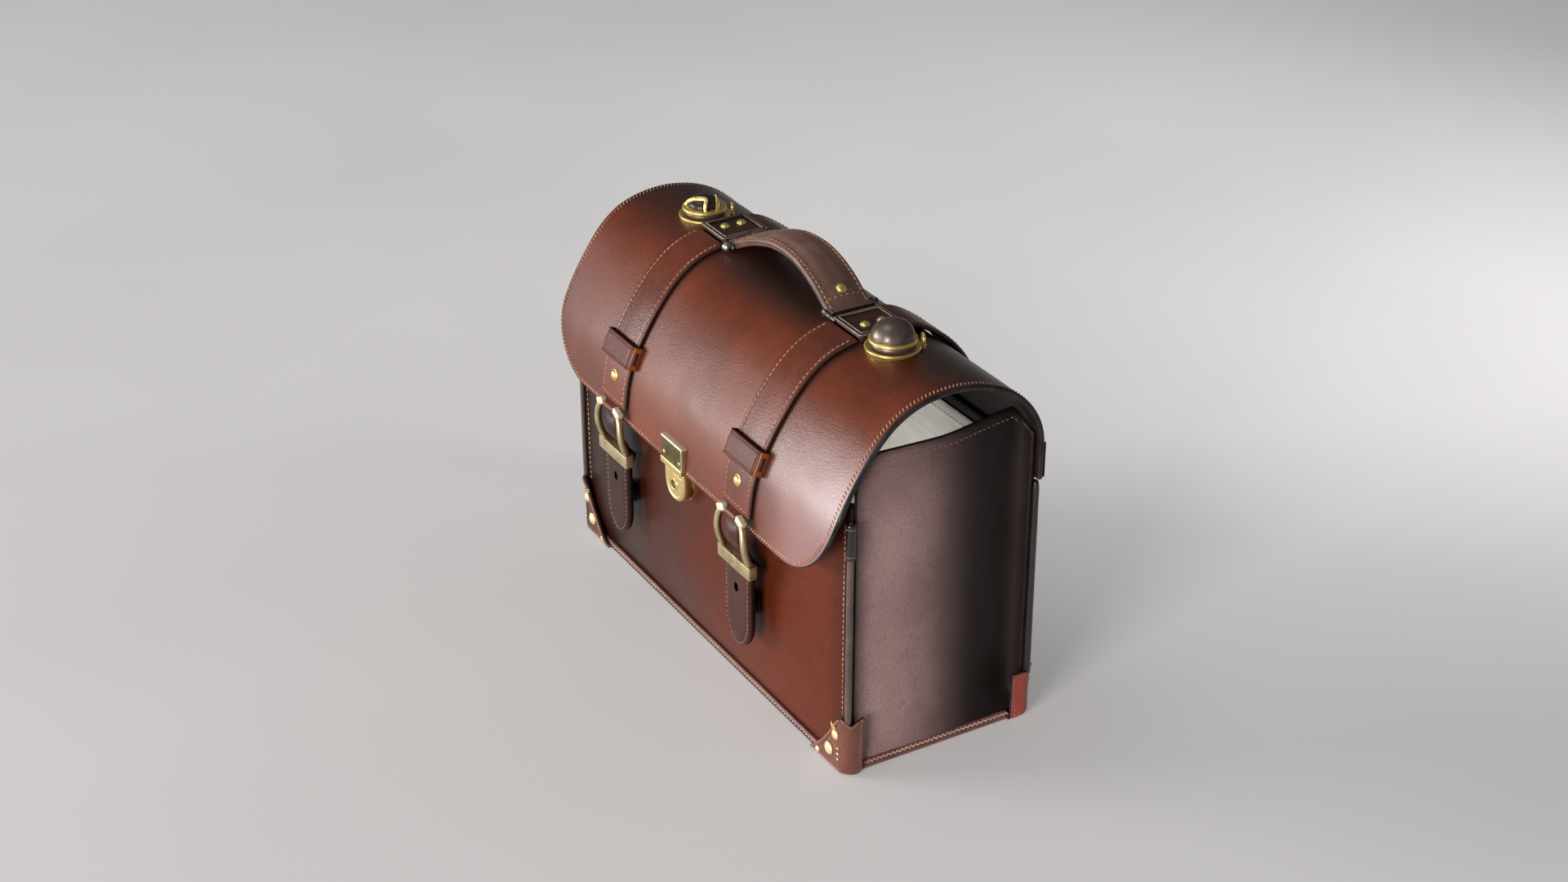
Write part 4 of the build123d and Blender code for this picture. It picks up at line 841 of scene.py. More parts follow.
def put(ob, body, slot_name, *nodes):
    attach(ob, body)
    if nodes:
        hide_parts(*nodes)
    pieces[ob.name] = ob
    return ob


def dome_rivet(name, centre, axis, r, height, mat, flange=1.18, sink=0.4):
    axis = unit(np.asarray(axis, float))
    pr = [(0, -sink), (r * flange, -sink), (r * flange, 0.22 * r * 0.5), (r * flange * 0.97, 0.16 * r),
          (r * 1.02, 0.2 * r)]
    for k in range(0, 9):
        a = math.pi / 2 * k / 8
        pr.append((r * 0.98 * math.cos(a), 0.2 * r + (height - 0.2 * r) * math.sin(a)))
    return lathe(name, pr, mat, origin=centre, axis=axis, segments=40)


# =====================================================================
# flap: one curved sheet from the rear seam over the top to the front rim
# =====================================================================
mid = np.linspace(-(FLAP_X - FLAP_R), FLAP_X - FLAP_R, 57)
arc = np.array([FLAP_X - FLAP_R + FLAP_R * math.sin(a) for a in np.linspace(0, math.pi / 2, 27)[1:]])
xs = np.concatenate([-arc[::-1], mid, arc])
rows = []
NV = 150
for x in xs:
    ln, s, nn = line_cached(x)
    k = int(np.argmax(ln[:, 1]))
    ez = edge_z(x)
    s_end = np.interp(-ez, -ln[k:, 1], s[k:])
    t = np.linspace(0, 1, NV)
    t = t ** 1.0
    ss = t * s_end
    row = np.stack([np.full(NV, x), np.interp(ss, s, ln[:, 0]), np.interp(ss, s, ln[:, 1])], 1)
    rows.append(row)
grid = np.array(rows)
# soft waves of a worn hide, fading out over the straps, at the knobs and low down at the rear
for i in range(grid.shape[0]):
    for j in range(grid.shape[1]):
        x, y, z = grid[i, j]
        w = smooth01((z - 228) / 12) if y > 0 else 1.0
        amp = 0.55 * wob(x, y, z, 70.0, 3.0) + 0.22 * wob(x, y, z, 24.0, 9.0)
        near = min(abs(abs(x) - STRAP_XC) / 26.0, 1.0)
        kn = min(math.hypot(abs(x) - KNOB_X, y) / 30.0, 1.0)
        amp *= near * kn * w
        n3 = flap_front(x, z)[1] if y < 0 else np.array([0, 0.5, 0.86])
        grid[i, j] += n3 * amp * 0.9
flap = sheet_solid("flap_leather_sheet", grid, FLAP_T, [M_FLAP, M_UNDER, M_EDGE], flip=False, rim=0.22, rim_steps=5, wear=7.0)
nrm_test = grid_normals(grid)[xs.size // 2, NV // 2]
if nrm_test[2] < 0:
    bpy.data.objects.remove(flap)
    flap = sheet_solid("flap_leather_sheet", grid, FLAP_T, [M_FLAP, M_UNDER, M_EDGE], flip=True, rim=0.22, rim_steps=5, wear=7.0)
# painted shade: the hide darkened along the crown, most of all under the handle, and a little at the left end
co = np.empty(len(flap.data.vertices) * 3)
flap.data.vertices.foreach_get("co", co)
co = co.reshape(-1, 3)
crown = np.clip((co[:, 1] + 0.054 - 0.030 * np.clip((co[:, 0] - 0.110) / 0.03, 0, 1)) / 0.042, 0, 1)
crown = crown * crown * (3 - 2 * crown)
under_handle_shade = np.exp(-((co[:, 0] / 0.070) ** 4)) * np.clip((co[:, 1] + 0.040) / 0.022, 0, 1)
left = np.clip((-co[:, 0] - 0.05) / 0.13, 0, 1)
soil_and_shade = np.zeros(len(co))                                   # painted shadow beside the straps
for sx in (-1, 1):
    dr = (co[:, 0] - sx * STRAP_XC * MM - 0.0185) / 0.0085
    dl = (sx * STRAP_XC * MM - 0.0185 - co[:, 0]) / 0.0045
    for dd, top in ((dr, 0.85), (dl, 0.55)):
        soil_and_shade = np.maximum(soil_and_shade, np.where(dd > -0.6, top * np.clip(1 - np.maximum(dd, 0), 0, 1) ** 1.4, 0))
# and a painted highlight, paler towards the right front corner
corner_highlight = np.clip((co[:, 0] - 0.105) / 0.075, 0, 1) * np.clip((0.262 - co[:, 2]) / 0.05, 0, 1) * (co[:, 1] < 0)
at = flap.data.attributes.new("painted_highlight", "FLOAT", "POINT")
at.data.foreach_set("value", (0.30 * corner_highlight * corner_highlight * (3 - 2 * corner_highlight)).astype(np.float32))
# painted shade: crown, under the handle, left end and beside the straps together
at = flap.data.attributes.new("painted_shading", "FLOAT", "POINT")
value = 0.58 * crown + 0.30 * under_handle_shade + 0.22 * left * (1 - crown)
at.data.foreach_set("value", np.clip(1 - (1 - value) * (1 - soil_and_shade), 0, 0.92).astype(np.float32))
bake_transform(flap)
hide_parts("flap", "flap_anchor")

# whip stitches round the rim
INS = 3.1
pts, nms = [], []
ln, s, nn = line_cached(FLAP_X - INS)
k0 = int(np.argmax(ln[:, 1]))
s_r0 = np.interp(0.0, -(ln[:k0, 0] - 79), s[:k0])
for sgn in (1,):
    pass
side_s = np.linspace(34.0, np.interp(-(edge_z(FLAP_X - 0.01) + 1), -ln[k0:, 1], s[k0:]), 260)
right = [flap_s(FLAP_X - INS, v) for v in side_s]
corner = []
for a in np.linspace(math.pi / 2, 0, 60)[1:]:
    x = FLAP_X - FLAP_R + (FLAP_R - INS) * math.sin(a)
    z = FLAP_EDGE_Z + FLAP_R - (FLAP_R - INS) * math.cos(a)
    corner.append(flap_front(x, z))
bottom = [flap_front(x, FLAP_EDGE_Z + INS) for x in np.linspace(FLAP_X - FLAP_R, -(FLAP_X - FLAP_R), 160)[1:]]
half = right + corner + bottom
left_corner = [(p * np.array([-1, 1, 1]), n) for p, n in corner[::-1]]
left_side = [(p * np.array([-1, 1, 1]), n) for p, n in right[::-1]]
whole = half + left_corner[1:] + left_side[1:]
P = np.array([p for p, n in whole]); Nn = np.array([n for p, n in whole])
rim_len = length_of(P)


def off_lock(points, normals, gap=16.5):
    """The run split where the lock plate and the straps cover it."""
    keep = ~((np.abs(points[:, 0] - LOCK_X) < gap) & (points[:, 1] < -60))
    runs, cur = [], []
    for i, k in enumerate(keep):
        if k:
            cur.append(i)
        elif cur:
            runs.append(cur); cur = []
    if cur:
        runs.append(cur)
    return [(points[r], normals[r]) for r in runs if len(r) > 3]


st = [stitch_mesh(f"rimst{i}", p + n * 0.05, n, M_THREAD, pitch=3.05, length=3.6, width=1.05, height=0.68, slant=1.05, sink=0.16)
      for i, (p, n) in enumerate(off_lock(P, Nn))]
rim = join("flap_rim_stitches", st)
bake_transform(rim)

# =====================================================================
# body box
# =====================================================================
RISE_Z = np.array([6.1, 30, 65, 105, 150, 185, 215.0])
RISE = np.array([0.03, 0.45, 0.86, 1.0, 0.86, 0.48, 0.12])


def front_y(x, z):
    r = spline_eval(RISE_Z, RISE, np.array([z]))[0]
    return FRONT_Y - FRONT_BULGE * (1 - (x / BODY_X) ** 2) * r


def panel_grid(front, nx=91, nz=64):
    gx = np.linspace(-BODY_X, BODY_X, nx)
    gz = np.linspace(6.1, 215.0, nz)
    g = np.zeros((nx, nz, 3))
    for i, x in enumerate(gx):
        r = spline_eval(RISE_Z, RISE, gz)
        for j, z in enumerate(gz):
            xx = x
            if front:
                # bulged face, soft waves away from the edges and a slight crease a little in from each end
                y = FRONT_Y - FRONT_BULGE * (1 - (x / BODY_X) ** 2) * r[j]
                edge = min(BODY_X - abs(x), z - 6.1, 215 - z) / 30.0
                y -= 0.5 * wob(x, 0, z, 60.0, 5.0) * smooth01(edge) + 0.25 * wob(x, 0, z, 22.0, 2.0) * smooth01(edge)
                crease = math.exp(-((BODY_X - abs(x) - 9.0) / 2.2) ** 2)
                y += 0.35 * crease
            else:
                zz = 1 - smooth01((z - 165) / 25.0)
                y = REAR_Y + REAR_BULGE * (1 - (x / BODY_X) ** 2) * r[j] * zz
                edge = min(BODY_X - abs(x), z - 6.1, max(186 - z, 0)) / 30.0
                y += 0.45 * wob(x, 9, z, 66.0, 1.0) * smooth01(edge)
                y = min(y, 78.2)
            g[i, j] = (xx, y, z)
    return g


gf = panel_grid(True)
fp = sheet_solid("front_panel_leather", gf, PANEL_T, [M_FRONT, M_UNDER, M_EDGE_BROWN], flip=(grid_normals(gf)[45, 30][1] > 0),
                 rim=0.3, wear=9.0)
put(fp, "body", "leather_body", "front_panel")
gb = panel_grid(False)
bp = sheet_solid("back_panel_leather", gb, PANEL_T, [M_BODY, M_UNDER, M_EDGE_BROWN], flip=(grid_normals(gb)[45, 30][1] < 0),
                 rim=0.3, wear=9.0)
put(bp, "body", "leather_body", "back_panel")

runs = []
for sgn in (-1, 1):
    z = np.linspace(46, 200, 90)
    line = np.array([[sgn * 195.2, front_y(195.2, v) - 0.35, v] for v in z])
    runs.append(stitch_mesh(f"fps{sgn}", line, (0, -1, 0), M_THREAD, pitch=4.4, length=3.2, width=0.8, height=0.5))
    z = np.linspace(40, 190, 90)
    line = np.array([[sgn * 195.2, 75.35, v] for v in z])
    runs.append(stitch_mesh(f"bps{sgn}", line, (0, 1, 0), M_THREAD_DARK, pitch=4.4, length=3.2, width=0.8, height=0.5))
xline = np.linspace(-172, 172, 180)
line = np.array([[v, REAR_Y + REAR_BULGE * (1 - (v / BODY_X) ** 2) * 0.19 + 0.3, 13.0] for v in xline])
runs.append(stitch_mesh("bpb", line, (0, 1, 0), M_THREAD_DARK, pitch=4.4, length=3.2, width=0.8, height=0.5))
put(join("panel_stitches", runs), "body", "leather_body")

# gussets: a folded channel that flares to the bottom welt, its top following the flap
G_PLAN = np.array([(199.6, -69.2), (198.4, -65.8), (198.0, -56.0), (199.4, -38.0), (201.3, -18.0), (202.0, -6.0),
                   (201.0, 6.0), (198.0, 20.0), (193.6, 38.0), (190.2, 54.0), (190.8, 67.4), (199.6, 70.4)])
UNDER = []
for x0 in (0,):
    ln = through(flap_points(0.0)[2:], 400)
    nn = left_normals(ln)
    UNDER = ln + nn * (FLAP_T + 3.5)


def gusset_top(y):
    z = 248.0
    o = UNDER[(UNDER[:, 1] > 150)]
    k = int(np.argmax(o[:, 1]))
    if y > o[k, 0]:
        seg = o[:k + 1][::-1]
        zz = np.interp(y, seg[:, 0], seg[:, 1])
        if y > seg[-1, 0]:
            zz = 205.0
    else:
        seg = o[k:]
        zz = np.interp(-y, -seg[:, 0], seg[:, 1])
        if y < -70:
            zz = min(zz, 214)
    return min(z, zz)


for side, sn in ((1, "right"), (-1, "left")):
    plan = through(G_PLAN, 75)
    nz = 70
    g = np.zeros((75, nz, 3))
    for i in range(75):
        x0, y0 = plan[i]
        zt = gusset_top(y0)
        for j in range(nz):
            f = j / (nz - 1)
            z = 3.8 + (zt - 3.8) * f
            fl = smooth01((26.0 - z) / 24.0)
            x = x0 + (201.0 - x0) * fl * 0.92
            up = smooth01((z - 190) / 60.0)
            x -= 1.6 * up * math.exp(-(y0 / 34.0) ** 2)
            edge = smooth01(min(70 - abs(y0), z - 8, zt - z) / 22.0)
            x += (0.9 * wob(0, y0, z, 48.0, 4.0 + side) + 0.35 * wob(0, y0, z, 18.0, 7.0)) * edge
            g[i, j] = (side * (x + 1.4), y0, z)
    outward = grid_normals(g)[37, 35][0] * side < 0
    gs = sheet_solid(f"gusset_{sn}_leather", g, 2.8, [M_GUSSET, M_UNDER, M_EDGE_BROWN], flip=outward, rim=0.3, wear=8.0)
    put(gs, "body", "leather_gusset", f"gusset_{sn}")
    top = []
    for y in np.linspace(-64, 66, 100):
        i = int(np.argmin(np.abs(plan[:, 1] - y)))
        jj = nz - 3
        top.append(g[i, jj] + np.array([side * 0.1, 0, 0]))
    put(stitch_mesh(f"gusset_{sn}_hem_stitches", np.array(top), (side, 0, 0), M_THREAD_DARK, pitch=4.4, length=3.0,
                    width=0.7, height=0.45), "body", "leather_gusset")

# lining: one cloth skin, open at the top, with a turned hem
per = []
for t in np.linspace(0, 1, 60, endpoint=False):
    per.append((-186.0 + 372.0 * t, "f"))
for t in np.linspace(0, 1, 24, endpoint=False):
    per.append((t, "r"))
for t in np.linspace(0, 1, 60, endpoint=False):
    per.append((186.0 - 372.0 * t, "b"))
for t in np.linspace(0, 1, 24, endpoint=False):
    per.append((t, "l"))


def lining_pt(p, z, inset):
    def yf(x):
        return FRONT_Y + PANEL_T + 0.4 + inset - FRONT_BULGE * (1 - (x / BODY_X) ** 2) * \
            float(spline_eval(RISE_Z, RISE, np.array([z]))[0]) * 0.93

    def yb(x):
        rr = float(spline_eval(RISE_Z, RISE, np.array([z]))[0]) if z < 184 else 0.0
        rr *= 1 - smooth01((z - 165) / 19.0)
        return REAR_Y - PANEL_T - 0.4 - inset + REAR_BULGE * (1 - (x / BODY_X) ** 2) * rr
    v, kind = p
    h = 186.6 - inset
    if kind == "f":
        x = v / 186.0 * h
        return np.array([x, yf(x), z])
    if kind == "b":
        x = v / 186.0 * h
        return np.array([x, yb(x), z])
    x = h if kind == "r" else -h
    a, b = yf(h), yb(h)
    y = a + (b - a) * v if kind == "r" else b + (a - b) * v
    return np.array([x, y, z])


lrows = [(z, 0.0) for z in np.linspace(6.5, 207, 40)] + [(207.5, 0.5)] + [(207, 1.1)] + \
        [(z, 1.1) for z in np.linspace(203, 197.5, 3)] + [(197.0, 0.75)] + [(z, 0.75) for z in np.linspace(194, 7.6, 38)]
lv, lf = [], []
np_ = len(per)
for r, (z, ins) in enumerate(lrows):
    for q, p in enumerate(per):
        pt = lining_pt(p, z, ins)
        fold = 0.0
        if ins > 0.1 and z < 196:
            fold = 0.7 * wob(pt[0], pt[1], pt[2] * 0.6, 34.0, 6.0) * smooth01((196 - z) / 20) * smooth01((z - 8) / 20)
            c = np.array([pt[0] * 0.0, 0.0, 0])
            d = unit(np.array([0 if p[1] in "fb" else -np.sign(pt[0]), (1 if p[1] == "f" else -1) if p[1] in "fb" else 0, 0.0]))
            pt = pt + d * abs(fold)
        lv.append(pt)
for r in range(len(lrows) - 1):
    for q in range(np_):
        q2 = (q + 1) % np_
        lf.append((r * np_ + q, r * np_ + q2, (r + 1) * np_ + q2, (r + 1) * np_ + q))
lf.append(list(range(np_))[::-1])
lf.append(list(range((len(lrows) - 1) * np_, len(lrows) * np_)))
lining = fix_normals_keep(make("lining_cloth_skin", lv, lf, M_LINING))
put(lining, "body", "lining", "lining")
hem = np.array([lining_pt(p, 199.5, 1.12) for p in per if p[1] in "b"])
hem2 = np.array([lining_pt(p, 199.5, 1.12) for p in per if p[1] in "f"])
put(join("lining_hem_stitches", [
    stitch_mesh("h1", hem, (0, -1, 0), M_THREAD_DARK, pitch=4.0, length=2.6, width=0.55, height=0.4),
    stitch_mesh("h2", hem2, (0, 1, 0), M_THREAD_DARK, pitch=4.0, length=2.6, width=0.55, height=0.4)]), "body", "lining")

# base: outer leather sheet under the stiffening board
gx = np.linspace(-199.4, 199.4, 60); gy = np.linspace(-70.8, 70.8, 26)
g = np.array([[(x, y, 0.05 + 0.9 * smooth01((abs(x) - 194) / 6) + 0.9 * smooth01((abs(y) - 66) / 5) +
                0.25 * abs(wob(x, y, 0, 40.0, 8.0))) for y in gy] for x in gx])
bs = sheet_solid("base_leather", g, 3.2, [M_BODY, M_UNDER, M_EDGE_BROWN], flip=(grid_normals(g)[30, 12][2] > 0), rim=0.3,
                 wear=16.0)
put(bs, "body", "leather_body", "base_panel")
rect = []
for a, b in (((-192, -64), (192, -64)), ((192, -64), (192, 64)), ((192, 64), (-192, 64)), ((-192, 64), (-192, -64))):
    rect.append(np.stack([np.linspace(a[0], b[0], 60), np.linspace(a[1], b[1], 60), np.full(60, 0.32)], 1))
put(stitch_mesh("base_stitches", np.concatenate(rect), (0, 0, -1), M_THREAD_DARK, pitch=4.6, length=3.2, width=0.7,
                height=0.3, sink=0.22), "body", "leather_body")
put(block("base_stiffener", (0, 0, 4.85), (368, 132, 2.5), M_BOARD, bevel=0.6), "body", "board", "base_board")

# welts along the bottom edges
wl = []
for sgn, yc, hy in ((-1, -73.9, 3.0), (1, 74.2, 3.3)):
    lo, hi = yc - hy, yc + hy
    outer_y = lo if sgn < 0 else hi
    for zc, r in ((1.75, 1.7), (4.5, 1.45)):
        line = np.stack([np.linspace(-195, 195, 120), np.full(120, outer_y - sgn * r), np.full(120, zc)], 1)
        line[:, 1] += 0.12 * np.array([wob(v, zc, 0, 14.0, 3.0) for v in line[:, 0]])
        wl.append(tube("w", line, rounded_ends(line, r), M_WELT if zc > 3 else M_EDGE, segments=14))
    line = np.stack([np.linspace(-194, 194, 40), np.full(40, yc), np.full(40, 3.0)], 1)
    wl.append(tube("w", line, 1.0, M_WELT, segments=14, flat=(2.6, 2.6)))
    line = np.stack([np.linspace(-166, 166, 120), np.full(120, outer_y - sgn * -0.02), np.full(120, 3.15)], 1)
    line[:, 1] -= sgn * 0.9
    wl.append(stitch_mesh("w", line, (0, sgn, 0), M_THREAD_PINK, pitch=3.7, length=3.2, width=1.05, height=0.8, slant=0.45))
put(join("base_welts_long_rolled", wl), "body", "leather_piping", "base_welts_long")
wl = []
for sgn in (-1, 1):
    for zc, r, xo in ((3.4, 1.9, 204.4), (6.6, 1.9, 203.8)):
        line = np.stack([np.full(60, sgn * (xo - r)), np.linspace(-65.4, 61.4, 60), np.full(60, zc)], 1)
        wl.append(tube("w", line, rounded_ends(line, r), M_WELT if zc > 3 else M_EDGE, segments=14))
    line = np.stack([np.full(60, sgn * 201.4), np.linspace(-64.5, 60, 60), np.full(60, 4.4)], 1)
    wl.append(tube("w", line, 1.0, M_WELT, segments=14, flat=(1.9, 4.0)))
    for sl, dz in ((0.75, 6.6), (-0.75, 6.6)):
        line = np.stack([np.full(80, sgn * 203.3), np.linspace(-64, 59, 80), np.full(80, dz)], 1)
        if sl < 0:
            line[:, 1] += 1.9
        wl.append(stitch_mesh("w", line, unit(np.array([sgn, 0, 0.75])), M_THREAD_PINK, pitch=3.8, length=3.2, width=0.95,
                              height=0.7, slant=sl, sink=-0.3))
put(join("base_welts_short_rolled", wl), "body", "leather_piping", "base_welts_short")

# piping on the four upright seams
for side, sn in ((1, "right"), (-1, "left")):
    z = np.linspace(44.5, 204.0, 90)
    line = np.stack([np.full(90, side * 203.0), np.full(90, -75.2), z], 1)
    line[:, 0] += 0.16 * np.array([wob(0, 3 * side, v, 26.0, 2.0) for v in z])
    rad = np.full(90, 2.5) * (1 + 0.03 * np.array([wob(2, 0, v, 11.0, 5.0) for v in z]))
    rad[-6:] *= np.array([0.99, 0.97, 0.92, 0.84, 0.7, 0.45])
    core = tube("p", line, rad, M_PIPE, segments=20)
    seam = np.stack([np.full(60, side * 200.9), np.full(60, -75.9), np.linspace(46, 203, 60)], 1)
    flange = tube("p", seam, 1.0, M_EDGE_BROWN, segments=10, flat=(1.8, 0.9), up=(0, 1, 0))
    put(join(f"piping_front_{sn}_cord", [core, flange]), "body", "leather_piping", f"piping_front_{sn}")
    z = np.linspace(37, 194.0, 90)
    line = np.stack([side * (203.2 - 0.4 * (z - 40.4) / 154), np.full(90, 74.6), z], 1)
    rad = 3.0 - 0.5 * (z - 40.4) / 154
    rad = rad * (1 + 0.03 * np.array([wob(2, 4, v, 11.0, 5.0) for v in z]))
    rad[-4:] *= np.array([0.97, 0.92, 0.8, 0.55])
    core = tube("p", line, rad, M_PIPE_DARK, segments=20)
    seam = np.stack([np.full(60, side * 200.8), np.full(60, 75.7), np.linspace(40, 193, 60)], 1)
    flange = tube("p", seam, 1.0, M_EDGE_BROWN, segments=10, flat=(1.8, 0.9), up=(0, 1, 0))
    put(join(f"piping_rear_{sn}_cord", [core, flange]), "body", "leather_piping", f"piping_rear_{sn}")
sl = []
for side in (1, -1):
    z = np.concatenate([[175.6, 175.9, 176.4], np.linspace(177, 202, 24), [202.6, 203.1, 203.4]])
    line = np.stack([np.full(30, side * 203.0), np.full(30, -75.2), z], 1)
    rad = np.full(30, 3.55)
    rad[:3] = (2.75, 3.2, 3.45); rad[-3:] = (3.45, 3.2, 2.75)
    sl.append(tube("s", line, rad, M_PIPE_DARK, segments=24))
    for zz in (179.0, 200.0):
        ring = np.array([[side * 203.0 + 3.55 * math.cos(a), -75.2 + 3.55 * math.sin(a), zz] for a in np.linspace(0, 2 * math.pi, 33)])
        sl.append(tube("s", ring, 0.35, M_THREAD_DARK, segments=8))
put(join("piping_sleeves_sewn", sl), "body", "leather_piping", "piping_sleeves")


# =====================================================================
# corner caps
# =====================================================================
def cap_piece(name, side, front, mat):
    if front:
        face, top, y_end = -79.4, 47.0, -65.0
        ed = np.array([(158.2, 0.0), (166.4, 6.0), (177.4, 17.0), (187.0, 29.5), (194.0, 40.0), (199.5, 47.0)])
        d = -1
    else:
        face, top, y_end = 80.2, 40.0, 61.0
        ed = np.array([(166.5, 0.0), (173.5, 6.0), (182.0, 14.5), (189.5, 24.5), (195.5, 34.0), (199.5, 40.0)])
        d = 1
    R, CX = 10.0, 206.2
    nz = 34
    nw = 44
    g = np.zeros((nw, nz, 3))
    zs = np.concatenate([np.linspace(0, 6, 12), np.linspace(6, top, nz - 11)[1:]])
    for j, z in enumerate(zs):
        x_start = float(np.interp(z, ed[:, 1], ed[:, 0]))
        if x_start > 196.2:
            a0 = math.asin(min((x_start - 196.2) / R, 1))
        else:
            a0 = 0.0
        path = []
        if x_start < 196.2:
            for v in np.linspace(x_start, 196.2, 18, endpoint=False):
                path.append((v, face, 0.0))
        for a in np.linspace(a0, math.pi / 2, 16, endpoint=False):
            path.append((196.2 + R * math.sin(a), face - d * R * (1 - math.cos(a)), a))
        for v in np.linspace(0, 1, 10):
            path.append((CX, face - d * R + (y_end - (face - d * R)) * v, math.pi / 2))
        pp = even(np.array(path), nw)
        # bottom edge rolled under
        inn = 4.2 * (1 - math.sqrt(max(1 - (1 - min(z / 5.0, 1)) ** 2, 0)))
        fl = 0.9 * smooth01((z - top + 9) / 9.0)
        for i in range(nw):
            x, y, a = pp[i]
            nx_, ny_ = math.sin(a), d * math.cos(a)
            wv = 0.35 * wob(x, y, z, 13.0, 4.0)
            o = -inn + fl + wv
            o = max(min(o, 1.2), -4.2)
            dip = (4.6 if front else 1.5) * math.exp(-((a - 1.15) / 0.42) ** 2) * (1 if i < nw - 9 else smooth01((nw - 1 - i) / 9.0))
            g[i, j] = (side * (x + nx_ * o), y + ny_ * o, (z + 0.05) * (1 - dip * smooth01(z / top) / top))
    nn = grid_normals(g)
    c = nn[nw // 2, nz // 2]
    want = np.array([side * 0.7, d * 0.7, 0])
    shell = sheet_solid(name + "_shell", g, 2.4, [mat, M_UNDER, M_EDGE], flip=(np.dot(c, want) < 0), rim=0.3, wear=4.0)
    parts = [shell]
    # rolled edge along the slanted front
    eline = g[0, 1:, :] + np.array([0, d * 0.5, 0])
    parts.append(tube("c", even(eline, 60), rounded_ends(even(eline, 60), 1.1), M_BEAD if front else M_CAP_REAR, segments=12))
    if front:
        tline = even(g[:, -1, :] + np.array([0, 0, -0.3]), 70)
        parts.append(tube("c", tline, rounded_ends(tline, 0.85), M_BEAD, segments=10))
        bline = even(g[1:-1, 3, :] + np.array([0, d * 0.15, 0]), 80)
        parts.append(tube("c", bline, rounded_ends(bline, 0.7), M_BEAD, segments=10))
    # stitches a little inside the slanted edge and down the side edge
    n3 = grid_normals(g) * (1 if np.dot(c, want) > 0 else -1)
    k = 5
    parts.append(stitch_mesh("c", g[k, 6:-2] + n3[k, 6:-2] * 0.05, n3[k, 6:-2], M_THREAD_DARK, pitch=3.4, length=2.4,
                             width=0.65, height=0.45))
    parts.append(stitch_mesh("c", g[-4, 6:-2] + n3[-4, 6:-2] * 0.05, n3[-4, 6:-2], M_THREAD_DARK, pitch=3.4, length=2.4,
                             width=0.65, height=0.45))
    return join(name, parts), g, n3


for side, sn in ((1, "right"), (-1, "left")):
    cp, g, n3 = cap_piece(f"corner_cap_front_{sn}_leather", side, True, M_CAP)
    put(cp, "body", "leather_cap", f"corner_cap_front_{sn}")
    cp, g, n3 = cap_piece(f"corner_cap_rear_{sn}_leather", side, False, M_CAP_REAR)
    put(cp, "body", "leather_cap", f"corner_cap_rear_{sn}")
rv = []
for side in (-1, 1):
    for x, z, r in ((185.5, 15.0, 4.1), (193.6, 31.0, 3.2), (169.6, 4.6, 2.0)):
        rv.append(dome_rivet("r", (side * x, -79.75 if z > 5.5 else -79.5, z), (0, -1, 0), r, r * 0.55, M_RIVET))
    for x, z, r in ((188.0, 12.0, 4.0), (196.5, 26.0, 3.0)):
        rv.append(dome_rivet("r", (side * x, 80.5, z), (0, 1, 0), r, r * 0.55, M_RIVET))
    # dots and the small staple
    for zz in (12.0, 16.5, 21.0):
        rv.append(dome_rivet("r", (side * 197.0, -79.8, zz), (side * 0.3, -1, 0), 1.05, 0.7, M_ANTIQUE))
    for dz in (0.0, 1.9):
        stp = np.array([(side * 189.6, -79.6, 38.3 + dz), (side * 190.0, -80.5, 38.1 + dz), (side * 192.3, -80.8, 36.6 + dz),
                        (side * 194.6, -80.5, 35.2 + dz), (side * 195.2, -79.4, 34.9 + dz)])
        rv.append(tube("r", through(stp, 16), 0.5, M_BRASS, segments=10))
put(join("corner_cap_rivets_domed", rv), "body", "brass_bright", "corner_cap_rivets")

# strip over the rear seam, with its two stitch rows
path = np.stack([np.linspace(-203.6, 203.6, 160), np.full(160, 79.15), np.full(160, 208.2)], 1)
strip = pad("rear_seam_strip_leather", path, (0, 1, 0), (0, 0, 1), 13.2, 3.7, [M_STRAP, M_UNDER, M_EDGE_BROWN], edge_r=1.3,
            crown=0.25, groove=3.2)
rows2 = [strip]
for dz in (-9.9, 9.9):
    ln3 = np.stack([np.linspace(-200, 200, 160), np.full(160, 79.15 + 3.72), np.full(160, 208.2 + dz)], 1)
    rows2.append(stitch_mesh("s", ln3, (0, 1, 0), M_THREAD_DARK, pitch=4.2, length=3.1, width=0.75, height=0.5))
put(join("rear_seam_strip_sewn", rows2), "body", "leather_strap", "rear_seam_strip")

# =====================================================================
# straps, keepers, tabs, handle
# =====================================================================
MID = through(flap_points(1.0)[2:], 900)                  # flap line under the straps
MID_N = -left_normals(MID)


def mid_between(y_from, z_to, n=140, off=0.0):
    k = int(np.argmax(MID[:, 1]))
    a = int(np.argmin(np.abs(MID[:, 0] - y_from) + (MID[:, 1] < 240) * 1000))
    b = k + int(np.argmin(np.abs(MID[k:, 1] - z_to)))
    seg = even(MID[a:b + 1], n)
    nn = unit(np.stack([np.interp(seg[:, 1] * 0 + i, [0], [0]) for i in (0, 0)], 1)) if False else None
    t = unit(np.gradient(seg, axis=0))
    nrm = np.stack([t[:, 1], -t[:, 0]], 1)
    return seg + nrm * off, nrm


